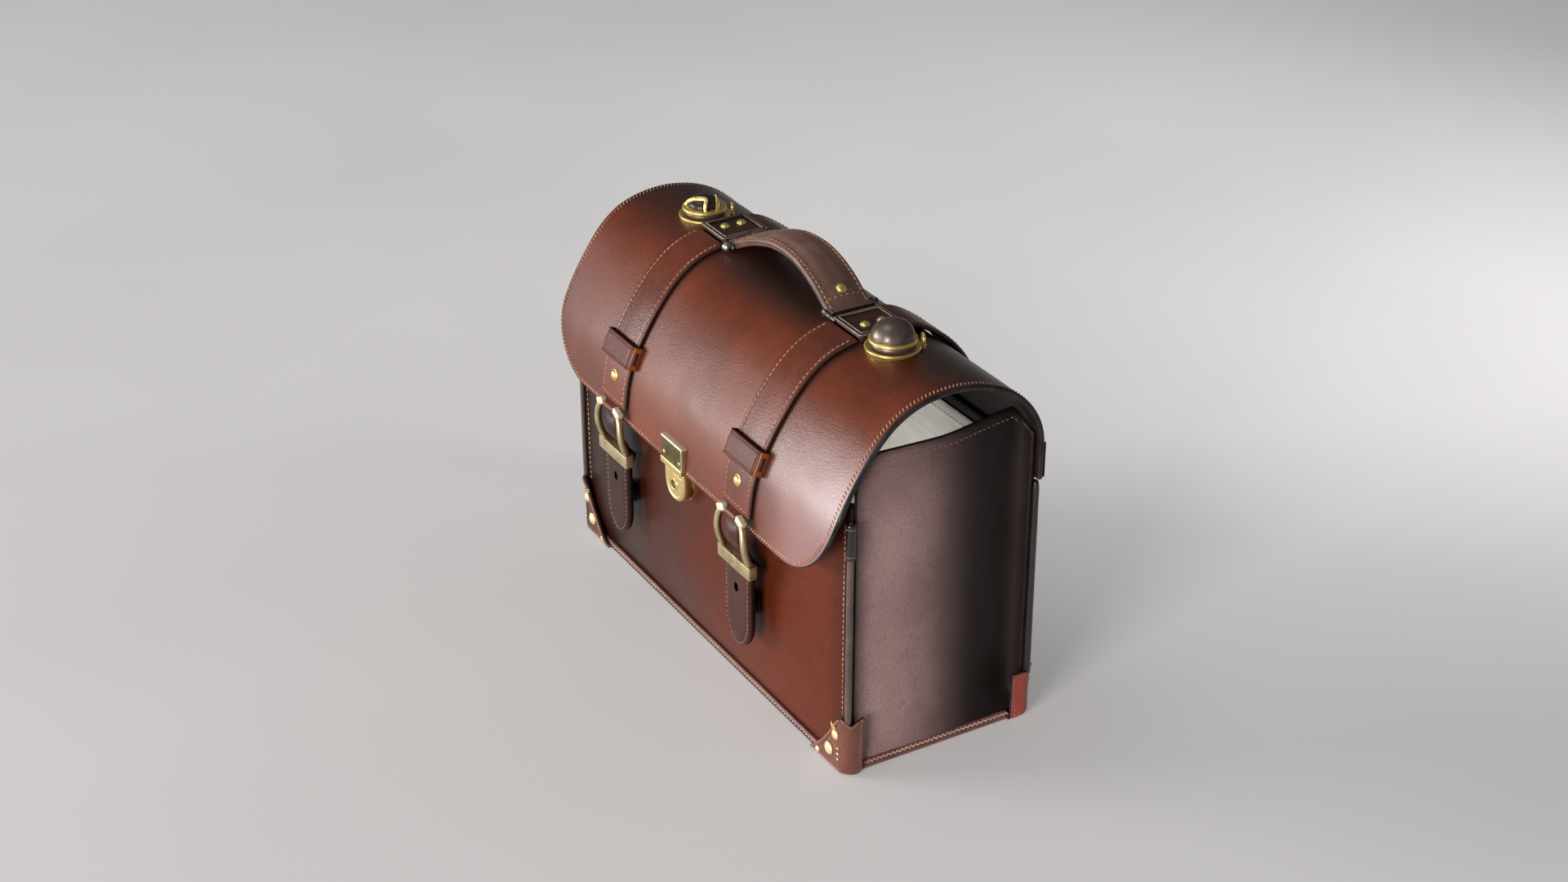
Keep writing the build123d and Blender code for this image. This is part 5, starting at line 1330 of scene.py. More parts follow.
for side, sn in ((1, "right"), (-1, "left")):
    xc = side * STRAP_XC
    seg, nrm = mid_between(-14.6, 168.4, 150, 0.1)
    path = np.stack([np.full(len(seg), xc), seg[:, 0], seg[:, 1]], 1)
    n3 = np.stack([np.zeros(len(seg)), nrm[:, 0], nrm[:, 1]], 1)
    wav = np.array([1 + 0.006 * wob(side, 0, v, 30.0, 2.0) for v in np.arange(len(seg)) * 1.5])
    strap = pad("a", path, n3, X, STRAP_W / 2 * wav, STRAP_T, [M_STRAP, M_UNDER, M_EDGE_BROWN], edge_r=1.3, crown=0.35,
                groove=3.0, groove_depth=0.4, end_round=False)
    parts = [strap]
    # the strap's end: narrow neck folded back round the buckle's pin
    ring = np.array([[xc, PIVOT_Y + 1.62 * math.cos(a), PIVOT_Z + 1.62 * math.sin(a)] for a in np.linspace(math.radians(70), math.radians(390), 30)])
    ringn = unit(ring - np.array([xc, PIVOT_Y, PIVOT_Z]))
    parts.append(pad("a", ring, ringn, X, 7.0, 1.4, [M_STRAP, M_UNDER, M_EDGE_BROWN], edge_r=0.5, crown=0.0, groove=0,
                     start_round=False, end_round=False))
    neck = np.array([[xc, y, z] for y, z in ((-99.4, 170.4), (-100.3, 168.9), (-101.7, 167.6), (-103.3, 167.15))])
    neckn = unit(np.array([[0, -0.8, 0.6], [0, -0.7, 0.7], [0, -0.5, 0.85], [0, -0.3, 0.95]]))
    parts.append(pad("a", through(neck, 12), np.array([neckn[0]] * 4 + [neckn[1]] * 3 + [neckn[2]] * 3 + [neckn[3]] * 2), X,
                     7.0, 0.9, [M_STRAP, M_UNDER, M_EDGE_BROWN], edge_r=0.4, crown=0.0, groove=0, start_round=False,
                     end_round=False))
    for sx in (-1, 1):
        ln3 = path[4:-3] + n3[4:-3] * (STRAP_T - 0.12) + X * sx * (STRAP_W / 2 - 3.0)
        parts.append(stitch_mesh("a", ln3, n3[4:-3], M_THREAD, pitch=4.0, length=3.0, width=0.75, height=0.5))
    ln3 = np.array([path[-5] + n3[-5] * (STRAP_T + 0.05) + X * v for v in np.linspace(-15, 15, 30)])
    parts.append(stitch_mesh("a", ln3, n3[-5], M_THREAD, pitch=4.0, length=3.0, width=0.75, height=0.5))
    put(join(f"strap_front_{sn}_leather", parts), "lid", "leather_strap", f"strap_front_{sn}")

    rear = np.array([(25.0, 287.4), (32.0, 286.4), (41.5, 282.2), (52.0, 275.4), (62.5, 267.0), (72.0, 256.5),
                     (78.8, 246.5), (82.4, 237.0), (83.5, 229.0), (83.2, 221.0)])
    seg = through(rear, 90)
    t = unit(np.gradient(seg, axis=0))
    nr = np.stack([-t[:, 1], t[:, 0]], 1)
    low = seg - nr * STRAP_T
    path = np.stack([np.full(90, xc), low[:, 0], low[:, 1]], 1)
    n3 = np.stack([np.zeros(90), nr[:, 0], nr[:, 1]], 1)
    strap = pad("a", path, n3, X, STRAP_W / 2, STRAP_T, [M_STRAP, M_UNDER, M_EDGE_BROWN], edge_r=1.3, crown=0.3,
                groove=3.0, groove_depth=0.4, start_round=False, end_round=False)
    parts = [strap]
    for sx in (-1, 1):
        ln3 = path[4:-3] + n3[4:-3] * (STRAP_T - 0.12) + X * sx * (STRAP_W / 2 - 3.0)
        parts.append(stitch_mesh("a", ln3, n3[4:-3], M_THREAD_DARK, pitch=4.0, length=3.0, width=0.75, height=0.5))
    ob = join(f"strap_rear_{sn}_leather", parts)
    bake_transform(ob)
    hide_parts(f"strap_rear_{sn}")

    # keeper: loop of folded leather over the strap
    k = int(np.argmax(MID[:, 1]))
    i0 = k + int(np.argmin(np.abs(MID[k:, 1] - 209.5)))
    o2, nk2 = MID[i0], MID_N[i0]
    o3 = np.array([xc, o2[0], o2[1]]); kn = unit(np.array([0, nk2[0], nk2[1]])); kt = np.cross(X, kn)
    half_w, hgt, tk = 21.25, 8.3, 2.2
    cs = []
    r = 1.6
    inner = [(-half_w + tk, 0.1)]
    for a in np.linspace(0, math.pi / 2, 6):
        inner.append((-half_w + tk + r * (1 - math.cos(a)), hgt - tk - r + r * math.sin(a)))
    for a in np.linspace(0, math.pi / 2, 6):
        inner.append((half_w - tk - r + r * math.sin(a), hgt - tk - r + r * math.cos(a)))
    inner.append((half_w - tk, 0.1))
    inner = even(np.array(inner), 70)
    tt = unit(np.gradient(inner, axis=0))
    inn = np.stack([-tt[:, 1], tt[:, 0]], 1)
    path = np.array([o3 + X * a + kn * b for a, b in inner])
    pn = np.array([X * a + kn * b for a, b in inn])
    parts = [pad("a", path, pn, kt, 9.5, tk, [M_KEEPER, M_UNDER, M_EDGE_BROWN], edge_r=1.0, crown=0.15, groove=2.2,
                 groove_depth=0.3, start_round=False, end_round=False)]
    # raw amber side walls with a dark inset
    for sx in (-1, 1):
        ctr = o3 + X * sx * (half_w + 0.15) + kn * 3.3
        parts.append(block("a", ctr, (1.3, 17.8, 6.4 if sx < 0 else 7.0), M_AMBER, bevel=0.5, frame_axes=[X, kt, kn]))
        parts.append(block("a", ctr + X * sx * 0.45, (0.9, 10.0, 3.6), M_PATCH, bevel=0.4, frame_axes=[X, kt, kn]))
    put(join(f"keeper_{sn}_leather", parts), "lid", "leather_keeper", f"keeper_{sn}")

    # handle tab: leather patch in a twin-rod metal frame, on the crown
    px = np.linspace(TAB_X0 + 1.2, TAB_X1 - 1.2, 30)
    path = np.stack([side * px, np.full(30, (TAB_Y0 + TAB_Y1) / 2), np.full(30, 284.4)], 1)
    patch = pad("a", path, Z, Y, (TAB_Y1 - TAB_Y0) / 2 - 1.2, 3.3, [M_PATCH, M_UNDER, M_EDGE_BROWN], edge_r=0.9,
                crown=0.25, groove=3.8, groove_depth=0.35)
    sk = []
    for y in (TAB_Y0 + 1.3, TAB_Y1 - 1.3):
        lowest = min(crown_z(xc, y), 284.4) - 0.6
        sk.append(block("a", (side * (TAB_X0 + TAB_X1) / 2, y, (lowest + 286.4) / 2),
                        (TAB_X1 - TAB_X0 - 2.4, 2.2, 286.4 - lowest), M_PATCH, bevel=0.6))
    for x in (TAB_X0 + 1.4, TAB_X1 - 1.4):
        sk.append(block("a", (side * x, (TAB_Y0 + TAB_Y1) / 2, 283.6), (2.0, TAB_Y1 - TAB_Y0 - 3.0, 5.4), M_PATCH, bevel=0.6))
    parts = [patch] + sk
    put(join(f"tab_patch_{sn}_leather", parts), "lid", "leather_strap", f"tab_patch_{sn}")
    rods = []
    for ins, zz, r in ((0.5, 288.0, 0.75), (3.0, 288.6, 0.62)):
        x0, x1, y0, y1 = TAB_X0 + ins - 0.4, TAB_X1 - ins + 0.4, TAB_Y0 + ins - 0.4, TAB_Y1 - ins + 0.4
        rc = 1.6 if ins < 1 else 0.9
        loop = []
        for cx, cy, a0 in ((x1 - rc, y1 - rc, 0), (x0 + rc, y1 - rc, 90), (x0 + rc, y0 + rc, 180), (x1 - rc, y0 + rc, 270)):
            for a in np.linspace(a0, a0 + 90, 6):
                loop.append((side * (cx + rc * math.cos(math.radians(a))), cy + rc * math.sin(math.radians(a)), zz))
        loop.append(loop[0])
        rods.append(tube("a", np.array(loop), r, M_FRAME, segments=12))
    # lugs that carry the handle pin
    for y in (-13.75, 24.05):
        prof = []
        for a in np.linspace(math.radians(100), math.radians(260), 12):
            prof.append((66.6 + 4.0 * math.cos(a), 286.2 + 2.9 * math.sin(a)))
        lug = [(80.1, 288.0)] + prof + [(80.1, 283.4)]
        if side < 0:
            lug = [(-a, b) for a, b in lug][::-1]
        rods.append(extrude_outline("a", np.array(lug), 1.9, M_DARKMETAL,
                                    lambda p, h, yy=y: np.stack([p[:, 0], np.full(len(p), yy - 0.95 + h), p[:, 1]], 1),
                                    bevel=0.45))
        rods.append(lathe("a", [(0, -0.2), (3.0, -0.2), (3.0, 0.3), (2.4, 0.6), (1.8, 0.7)], M_DARKMETAL,
                          origin=(side * 67.0, y + (-0.95 if y < 0 else 0.95), 286.9), axis=(0, -1 if y < 0 else 1, 0), segments=28))
    put(join(f"tab_frame_{sn}_rods", rods), "lid", "dark_metal", f"tab_bezel_{sn}")

# handle pins with ball ends
for sn, side, y0 in (("left", -1, -17.9), ("right", 1, -15.0)):
    ya, yb = y0, 27.6
    pr = []
    if side < 0:
        for a in np.linspace(-math.pi / 2, math.pi / 3, 18):
            pr.append((3.9 * math.cos(a), 0.4 + 3.5 * math.sin(a)))
    else:
        pr += [(0, -0.8), (1.3, -0.7), (2.2, -0.2), (2.3, 0.4), (1.6, 0.9)]
    L = yb - ya
    pr += [(1.6, 3.6), (1.6, L - 2.0)]
    for a in np.linspace(-math.pi / 3.2, math.pi / 2, 12):
        pr.append((2.3 * math.cos(a), L + 2.3 * math.sin(a)))
    put(lathe(f"handle_pin_{sn}_turned", pr, M_DARKMETAL if side > 0 else M_STEEL, origin=(side * 67.0, ya, 286.9), axis=(0, 1, 0), segments=36),
        "lid", "steel", f"handle_pin_{sn}")

# padded handle
HM = np.array([(-73.5, 286.0), (-66.5, 287.2), (-57.0, 292.0), (-44.0, 298.0), (-30.0, 303.3), (-14.0, 307.6),
               (0.0, 309.2), (14.0, 309.0), (30.0, 305.9), (44.0, 300.4), (56.0, 293.6), (66.5, 287.3), (73.5, 286.2)])
hm = through(HM, 150)
t = unit(np.gradient(hm, axis=0))
hn = np.stack([-t[:, 1], t[:, 0]], 1)
yc = (HANDLE_Y0 + HANDLE_Y1) / 2
hw = (HANDLE_Y1 - HANDLE_Y0) / 2
sarc = np.linspace(-1, 1, 150)
cw = np.concatenate([np.array([0, 0.15, 0.45, 0.9, 1.5, 2.2, 2.8, 3.2, 3.6, 4.2, 5.2, 7, 9.5, 12.5, 15.5]), ])
offs = np.concatenate([-hw + cw, [0.0], (hw - cw)[::-1]])
nh = len(offs)
topv = np.zeros((150, nh, 3)); botv = np.zeros((150, nh, 3)); wv = np.zeros((150, nh))
for i in range(150):
    w_i = 1.0 - 0.03 * (1 - smooth01(abs(sarc[i]) * 1.6)) + 0.004 * wob(0, 0, i * 1.2, 12.0, 4.0)
    arch = smooth01((1 - abs(sarc[i])) / 0.22)
    for j, o in enumerate(offs):
        d = hw - abs(o)
        e = edge_profile(d, 2.0)
        padh = 1.7 * arch * smooth01((d - 4.0) / 9.0)
        gr = 0.45 * math.exp(-((d - 3.2) / 0.5) ** 2)
        hh = 3.0 * (0.1 + 0.9 * e) + padh - gr + 0.12 * wob(hm[i, 0], o, 0, 9.0, 1.0)
        lo = -3.0 * (0.1 + 0.9 * e) + 0.25 * math.exp(-((d - 3.2) / 0.5) ** 2) - 0.5 * arch * smooth01((d - 4) / 9)
        zz = hm[i, 1] + hn[i, 1] * hh; xx = hm[i, 0] + hn[i, 0] * hh
        topv[i, j] = (xx, yc + o * w_i, zz)
        botv[i, j] = (hm[i, 0] + hn[i, 0] * lo, yc + o * w_i, max(hm[i, 1] + hn[i, 1] * lo, 284.5))
        wv[i, j] = max(0, 1 - d / 3.0)
kk = 150 * nh
verts = np.concatenate([topv.reshape(-1, 3), botv.reshape(-1, 3)])
faces, idx = [], []
for i in range(149):
    for j in range(nh - 1):
        a, b, c, d2 = i * nh + j, (i + 1) * nh + j, (i + 1) * nh + j + 1, i * nh + j + 1
        faces.append((a, b, c, d2)); idx.append(0)
        faces.append((kk + a, kk + d2, kk + c, kk + b)); idx.append(0)
    for j in (0, nh - 1):
        a, b = i * nh + j, (i + 1) * nh + j
        faces.append((a, b, kk + b, kk + a)); idx.append(1)
for i in (0, 149):
    for j in range(nh - 1):
        a, b = i * nh + j, i * nh + j + 1
        faces.append((a, b, kk + b, kk + a)); idx.append(1)
handle = fix_normals_keep(make("handle_padded", verts, faces, [M_HANDLE, M_EDGE_HANDLE], idx,
                               edge=np.concatenate([wv.ravel(), wv.ravel()])))
put(handle, "lid", "leather_handle", "handle")
hs = []
for o in (-(hw - 3.2), hw - 3.2):
    j = int(np.argmin(np.abs(offs - o)))
    ln3 = topv[5:-5, j]
    nn3 = np.stack([hn[5:-5, 0], np.zeros(140), hn[5:-5, 1]], 1)
    hs.append(stitch_mesh("a", ln3 + nn3 * 0.15, nn3, M_THREAD_GOLD, pitch=4.4, length=3.5, width=1.15, height=0.75, slant=0.18))
for i in (14, 135):
    ln3 = topv[i, 8:-8] + np.array([hn[i, 0], 0, hn[i, 1]]) * 0.15
    hs.append(stitch_mesh("a", ln3, np.array([hn[i, 0], 0, hn[i, 1]]), M_THREAD_GOLD, pitch=4.3, length=3.3, width=0.95,
                          height=0.6))
put(join("handle_stitches", hs), "lid", "leather_handle")

# dome rivets of the lid
rv = []
k = int(np.argmax(MID[:, 1]))
i0 = k + int(np.argmin(np.abs(MID[k:, 1] - 190.0)))
for side in (-1, 1):
    nrv = unit(np.array([0, MID_N[i0, 0], MID_N[i0, 1]]))
    c = np.array([side * STRAP_XC, MID[i0, 0], MID[i0, 1]]) + nrv * (STRAP_T + 0.42)
    rv.append(dome_rivet("r", c, nrv, 3.7, 2.5, M_BRASS))
    for y in (-1.0, 13.0):
        rv.append(dome_rivet("r", (side * 99.0, y, 287.95), (0, 0, 1), 3.3, 2.4, M_BRASS))
rv.append(dome_rivet("r", (57.9, 5.0, 297.9), (0.503, 0, 0.864), 3.6, 2.4, M_BRASS))
put(join("lid_rivets_domed", rv), "lid", "brass_bright", "lid_rivets")

# reinforcing strips under the crown
for side, sn in ((1, "right"), (-1, "left")):
    seg = MID[(MID[:, 0] < 66) & (MID[:, 0] > -60)]
    seg = even(seg, 90)
    t = unit(np.gradient(seg, axis=0))
    nr = np.stack([t[:, 1], -t[:, 0]], 1)
    low = seg - nr * (FLAP_T + 0.35)
    path = np.stack([np.full(90, side * 95.5), low[:, 0], low[:, 1]], 1)
    n3 = -np.stack([np.zeros(90), nr[:, 0], nr[:, 1]], 1)
    put(pad(f"lid_reinforcement_{sn}_leather", path, n3, X, 17.5, 2.0, [M_PIPE_DARK, M_UNDER, M_EDGE_BROWN], edge_r=0.8,
            crown=0.1, groove=2.6), "lid", "leather_strap", f"lid_reinforcement_{sn}")

# =====================================================================
# knobs
# =====================================================================
for side, sn in ((1, "right"), (-1, "left")):
    c = (side * KNOB_X, 0.0, 0.0)
    cz = crown_z(side * KNOB_X, 0)
    # brass seat ring: a short collar below a torus-edged disc
    pr = [(3.1, 280.5), (17.6, 280.5), (18.6, 281.0), (18.7, 284.6), (19.3, 284.9), (19.75, 285.6), (19.6, 286.3),
          (19.0, 286.75), (18.2, 286.8), (17.5, 286.5), (16.9, 286.1), (16.5, 286.05), (3.1, 286.05)]
    base = lathe("a", pr, M_BRASS, origin=c, axis=(0, 0, 1), segments=96)
    rc = np.array([side * KNOB_X + 7.2, 19.6, 289.6])
    u, v = np.array([0.94, -0.345, 0]), Z
    loop = np.array([rc + u * 3.2 * math.cos(a) + v * 3.2 * math.sin(a) for a in np.linspace(0, 2 * math.pi, 41)])
    ringl = tube("a", loop, 1.25, M_BRASS, segments=16)
    foot = tube("a", np.array([rc + np.array([0, 0, -9.8]), rc + np.array([0, 0, -6.5]), rc + np.array([0, 0, -3.6])]), np.array([2.0, 1.9, 1.5]),
                M_BRASS, segments=20)
    collar = lathe("a", [(0, -0.3), (2.6, -0.3), (2.7, 0.5), (2.0, 0.9), (1.6, 1.0)], M_BRASS, origin=rc + np.array([0, 0, -4.9]), segments=24)
    put(join(f"knob_base_{sn}_ring", [base, ringl, foot, collar]), "lid", "brass_bright", f"knob_base_{sn}")
    pr = [(0, 275.4), (7.0, 275.4), (7.0, 276.9), (3.0, 277.0), (3.0, 286.6), (15.2, 286.7), (15.6, 286.9), (15.25, 288.2),
          (15.6, 289.6), (15.2, 289.85), (6.0, 289.85), (6.0, 293.0), (0, 293.0)]
    post = lathe(f"knob_neck_{sn}", pr, M_PEWTER, origin=c, segments=96)
    put(post, f"knob_{sn}", "steel", f"knob_post_{sn}")
    pr = [(6.1, 290.1), (15.6, 290.0), (16.3, 290.15), (16.9, 290.7), (17.0, 291.5), (16.8, 292.3), (16.2, 292.85), (15.5, 293.05),
          (15.1, 293.15), (6.1, 293.15), (6.1, 290.1)]
    band = lathe(f"knob_band_{sn}_ring", pr[:-1], M_BRASS, origin=c, segments=96)
    if side < 0:
        claws = [band]
        for pts3, big in ((((-7.6, -12.6, 292.4), (-7.0, -11.6, 294.4), (-4.2, -11.0, 297.0), (-0.4, -9.3, 299.2), (4.1, -6.1, 300.6),
                            (8.2, -2.9, 300.2), (10.4, -4.6, 297.6), (11.3, -5.4, 295.0), (13.8, -6.2, 292.6)), 1.0),
                          (((15.0, 2.6, 292.6), (11.6, 5.4, 296.4), (8.6, 6.4, 299.6), (6.0, 6.5, 302.2)), 0.95)):
            line = through(np.array([(x - KNOB_X, y, z) for x, y, z in pts3]), 60)
            f = np.linspace(0, 1, 60)
            taper = big * (1.25 - 0.15 * np.cos(2 * math.pi * f))
            if len(pts3) < 5:
                taper = taper * (1 - 0.62 * smooth01((f - 0.62) / 0.38))
            claws.append(tube("a", line, taper, M_BRASS, segments=20, flat=(1.3, 0.8), up=(0.2, 0.3, 1)))
        band = join(f"knob_band_{sn}_ring", claws)
    put(band, f"knob_{sn}", "brass_bright", f"knob_band_{sn}")
    if side > 0:
        pr = [(0, 293.2), (15.0, 293.2)]
        for a in np.linspace(0.0, math.pi / 2, 26):
            rr = 15.25 * math.cos(a) ** 0.92
            pr.append((rr, 293.5 + 12.4 * math.sin(a) ** 1.06))
        dome = lathe(f"knob_dome_{sn}_cap", pr, M_PEWTER, origin=c, segments=96)
        # softly faceted, as if beaten by hand
        for vtx in dome.data.vertices:
            x, y, z = (vtx.co / MM)
            if z > 294.2:
                a = math.atan2(y, x - side * KNOB_X)
                fac = 0.16 * math.cos(8 * a + 0.5 * side) * smooth01((305.5 - z) / 8.0)
                rr = math.hypot(y, x - side * KNOB_X)
                if rr > 0.5:
                    k2 = (rr + fac) / rr
                    vtx.co.x = (side * KNOB_X + (x - side * KNOB_X) * k2) * MM
                    vtx.co.y = y * k2 * MM
        put(dome, f"knob_{sn}", "pewter", f"knob_dome_{sn}")
    else:
        # low dark cap under two curled claws of the band
        prof = through(np.array([(12.5, 293.2), (12.2, 295.2), (9.4, 298.4), (5.2, 300.0), (0.0, 300.4)]), 26)
        pr = [(0, 293.2), (12.4, 293.1)] + [tuple(q) for q in prof]
        dome = lathe(f"knob_dome_{sn}_cap", pr, M_UMBER, origin=c, segments=96)
        put(dome, f"knob_{sn}", "pewter", f"knob_dome_{sn}")

# =====================================================================
# buckle drops
# =====================================================================
for side, sn in ((1, "right"), (-1, "left")):
    xc = side * STRAP_XC
    parts = []
    # bar: heavy cross piece with chamfered ends
    parts.append(block("a", (xc, -100.6, 126.6), (45.0, 7.4, 11.0), M_ANTIQUE, bevel=1.1, segments=4))
    parts.append(block("a", (xc, -104.25, 131.6), (43.6, 0.9, 0.9), M_ANTIQUE, bevel=0.35))
    for sx in (-1, 1):
        arm = np.array([(xc + sx * 11.8, PIVOT_Y - 0.5, PIVOT_Z + 0.7), (xc + sx * 14.9, -105.0, 162.2), (xc + sx * 17.3, -105.6, 157.2),
                        (xc + sx * 18.6, -105.9, 151.0), (xc + sx * 19.0, -105.4, 144.5), (xc + sx * 18.9, -103.8, 138.0),
                        (xc + sx * 18.4, -101.4, 131.2), (xc + sx * 18.2, -100.8, 128.0)])
        ln3 = through(arm, 60)
        f = np.linspace(0, 1, 60)
        rad = 1.0 + 0.10 * np.sin(math.pi * f) + 0.14 * smooth01((f - 0.75) / 0.25)
        parts.append(tube("a", ln3, rad, M_ANTIQUE, segments=26, flat=(2.15, 2.35), up=(0, 1, 0)))
        # eye on the pin, with a pale worn tip
        parts.append(lathe("a", [(1.45, -2.6), (2.7, -2.6), (3.1, -2.1), (3.15, 0), (3.1, 2.1), (2.7, 2.6), (1.45, 2.6)], M_TIP,
                           origin=(xc + sx * 12.7, PIVOT_Y, PIVOT_Z), axis=(1, 0, 0), segments=36))
        parts.append(block("a", (xc + sx * 13.3, PIVOT_Y - 0.9, PIVOT_Z + 0.2), (9.4, 5.3, 6.0), M_TIP, bevel=1.2, segments=4,
                           frame_axes=[unit(np.array([1, 0, -0.45 * sx])), Y, unit(np.array([0.45 * sx, 0, 1]))]))
    pin = lathe("a", [(0, -11.2), (1.5, -11.2), (1.5, 11.2), (0, 11.2)], M_ANTIQUE, origin=(xc, PIVOT_Y, PIVOT_Z),
                axis=(1, 0, 0), segments=28)
    parts.append(pin)
    put(join(f"buckle_{sn}_frame", parts), f"buckle_drop_{sn}", "brass_antique", f"buckle_{sn}")

    # tongue: broad tail with a rounded point
    out = []
    hwid = 17.5
    out += [(-hwid, z) for z in np.linspace(131.5, 82, 26)]
    tip = through(np.array([(-hwid, 82.0), (-17.2, 76.0), (-13.6, 66.0), (-6.9, 58.6), (0, 56.0), (6.9, 58.6), (13.6, 66.0),
                            (17.2, 76.0), (hwid, 82.0)]), 60)
    out += [tuple(p) for p in tip[1:-1]]
    out += [(hwid, z) for z in np.linspace(82, 131.5, 26)]
    out = np.array(out)
    cen = np.array([0.0, 96.0])
    # rings from the outline to the middle
    ins = [0, 0.1, 0.3, 0.6, 1.0, 1.5, 2.0, 2.3, 2.6, 2.9, 3.3, 4.0, 5.5, 8.0, 11.0, 14.0]
    m = len(out)
    tn = unit(np.roll(out, -1, 0) - np.roll(out, 1, 0))
    inn = np.stack([-tn[:, 1], tn[:, 0]], 1)
    if np.mean(np.sum(inn * (cen - out), axis=1)) < 0:
        inn = -inn
    verts, wear_v = [], []
    yb = -96.6 + 4.65

    def fwd(zz):
        return 4.8 * smooth01((131.0 - zz) / 10.0)

    for q in ins:
        shrink = out + inn * q
        # keep the rings from crossing near the middle
        shrink[:, 0] = np.where(np.sign(out[:, 0]) * shrink[:, 0] < 0, 0, shrink[:, 0])
        h = 4.65 * (0.5 + 0.5 * edge_profile(np.array([q]), 1.6)[0]) - 0.42 * math.exp(-((q - 2.6) / 0.4) ** 2) + \
            0.45 * smooth01((q - 3.0) / 4.0)
        for p in shrink:
            sag = 0.5 * smooth01((76 - p[1]) / 20)
            verts.append((xc + p[0], yb - h - fwd(p[1]) + sag * 0.3 + 0.1 * wob(p[0], p[1], side * 3, 9.0, 2.0), p[1]))
            wear_v.append(max(0, 1 - q / 3.0))
    nb = len(ins)
    for q in (0.0, 0.6, 14.0):
        for p in (out + inn * q):
            px_ = 0 if np.sign(p[0]) * p[0] < 0 else p[0]
            verts.append((xc + px_, yb + 0.9 * fwd(p[1]) / 4.8 - fwd(p[1]) - (2.0 if q == 0 else 0.0), p[1]))
            wear_v.append(1.0 if q < 1 else 0)
    faces, idx = [], []
    for r in range(nb - 1):
        for q in range(m - 1):
            faces.append((r * m + q, r * m + q + 1, (r + 1) * m + q + 1, (r + 1) * m + q)); idx.append(0)
    for r0, r1 in ((0, nb), (nb, nb + 1), (nb + 1, nb + 2)):
        for q in range(m - 1):
            faces.append((r0 * m + q, r0 * m + q + 1, r1 * m + q + 1, r1 * m + q)); idx.append(1)
    # close the middle: left half to right half
    for r in (nb - 1, nb + 2):
        for q in range(m // 2 - 1):
            faces.append((r * m + q, r * m + q + 1, r * m + m - 2 - q, r * m + m - 1 - q)); idx.append(0)
    faces.append([r * m for r in range(nb)] + [r * m for r in range(nb + 2, nb - 1, -1)]); idx.append(1)
    faces.append([r * m + m - 1 for r in range(nb)] + [r * m + m - 1 for r in range(nb + 2, nb - 1, -1)]); idx.append(1)
    tail = fix_normals_keep(make("a", verts, faces, [M_TONGUE, M_EDGE_BROWN], idx, edge=np.array(wear_v)))
    # elongated hole punched right through
    hole = []
    for a in np.linspace(0, 2 * math.pi, 33)[:-1]:
        hole.append((2.3 * math.cos(a), 105.0 + 2.3 * math.sin(a) + (1.2 if math.sin(a) > 0 else -1.2)))
    hp = np.array(hole)
    cutter = make("a_cut", np.concatenate([np.stack([xc + hp[:, 0], np.full(32, -106.0), hp[:, 1]], 1),
                                           np.stack([xc + hp[:, 0], np.full(32, -86.0), hp[:, 1]], 1)]),
                  [list(range(32)), list(range(32, 64))] + [(q, (q + 1) % 32, 32 + (q + 1) % 32, 32 + q) for q in range(32)], M_EDGE_BROWN)
    fix_normals(cutter)
    fix_normals(tail)
    bo = tail.modifiers.new("hole", "BOOLEAN")
    bo.operation = "DIFFERENCE"; bo.object = cutter; bo.solver = "EXACT"
    bpy.context.view_layer.objects.active = tail
    bpy.ops.object.modifier_apply(modifier="hole")
    bpy.data.objects.remove(cutter)
    parts = [tail]
    rimh = np.array([[xc + x * 1.12, yb - 4.95 - fwd(z), 105 + (z - 105) * 1.08] for x, z in hole + hole[:1]])
    parts.append(tube("a", rimh, 0.32, M_EDGE_BROWN, segments=8))
    sl_line = out[3:-3] + inn[3:-3] * 2.6
    ln3 = np.stack([xc + sl_line[:, 0], yb - 4.3 - np.array([fwd(v) for v in sl_line[:, 1]]), sl_line[:, 1]], 1)
    ln3 = ln3[(ln3[:, 2] < 119)]
    parts.append(stitch_mesh("a", ln3, (0, -1, 0), M_THREAD_DARK, pitch=3.8, length=2.9, width=0.7, height=0.5))
    # bulged loop that rises between the arms
    lo = through(np.array([(-93.6, 125.0), (-94.2, 132.0), (-97.4, 138.4), (-101.4, 144.6), (-102.7, 150.6), (-101.5, 156.0),
                           (-99.4, 158.6)]), 60)
    t = unit(np.gradient(lo, axis=0))
    nl = np.stack([-t[:, 1], t[:, 0]], 1)
    if nl[30, 0] > 0:
        nl = -nl
    path = np.stack([np.full(60, xc), lo[:, 0], lo[:, 1]], 1)
    n3 = np.stack([np.zeros(60), nl[:, 0], nl[:, 1]], 1)
    f = np.linspace(0, 1, 60)
    wdt = 10.4 - 2.4 * smooth01((f - 0.66) / 0.34)
    parts.append(pad("a", path, n3, X, wdt, 3.7, [M_TONGUE, M_UNDER, M_EDGE_BROWN], edge_r=1.6, crown=1.0, groove=2.2,
                     groove_depth=0.25, end_round=True, start_round=False))
    put(join(f"tongue_{sn}_leather", parts), f"buckle_drop_{sn}", "leather_strap", f"tongue_{sn}")

    pr = [(0, -3.9), (5.2, -3.9), (5.4, -3.6), (5.4, -0.2), (8.2, 0), (8.5, 0.35), (8.5, 1.9), (7.8, 2.4), (6.2, 2.5), (5.6, 2.1), (0, 2.1)]
    put(lathe(f"closure_disc_{sn}_turned", pr, M_BLUED, origin=(xc, -91.85, 88.0), axis=(0, 1, 0), segments=48),
        f"buckle_drop_{sn}", "steel", f"closure_disc_{sn}")
pl = []
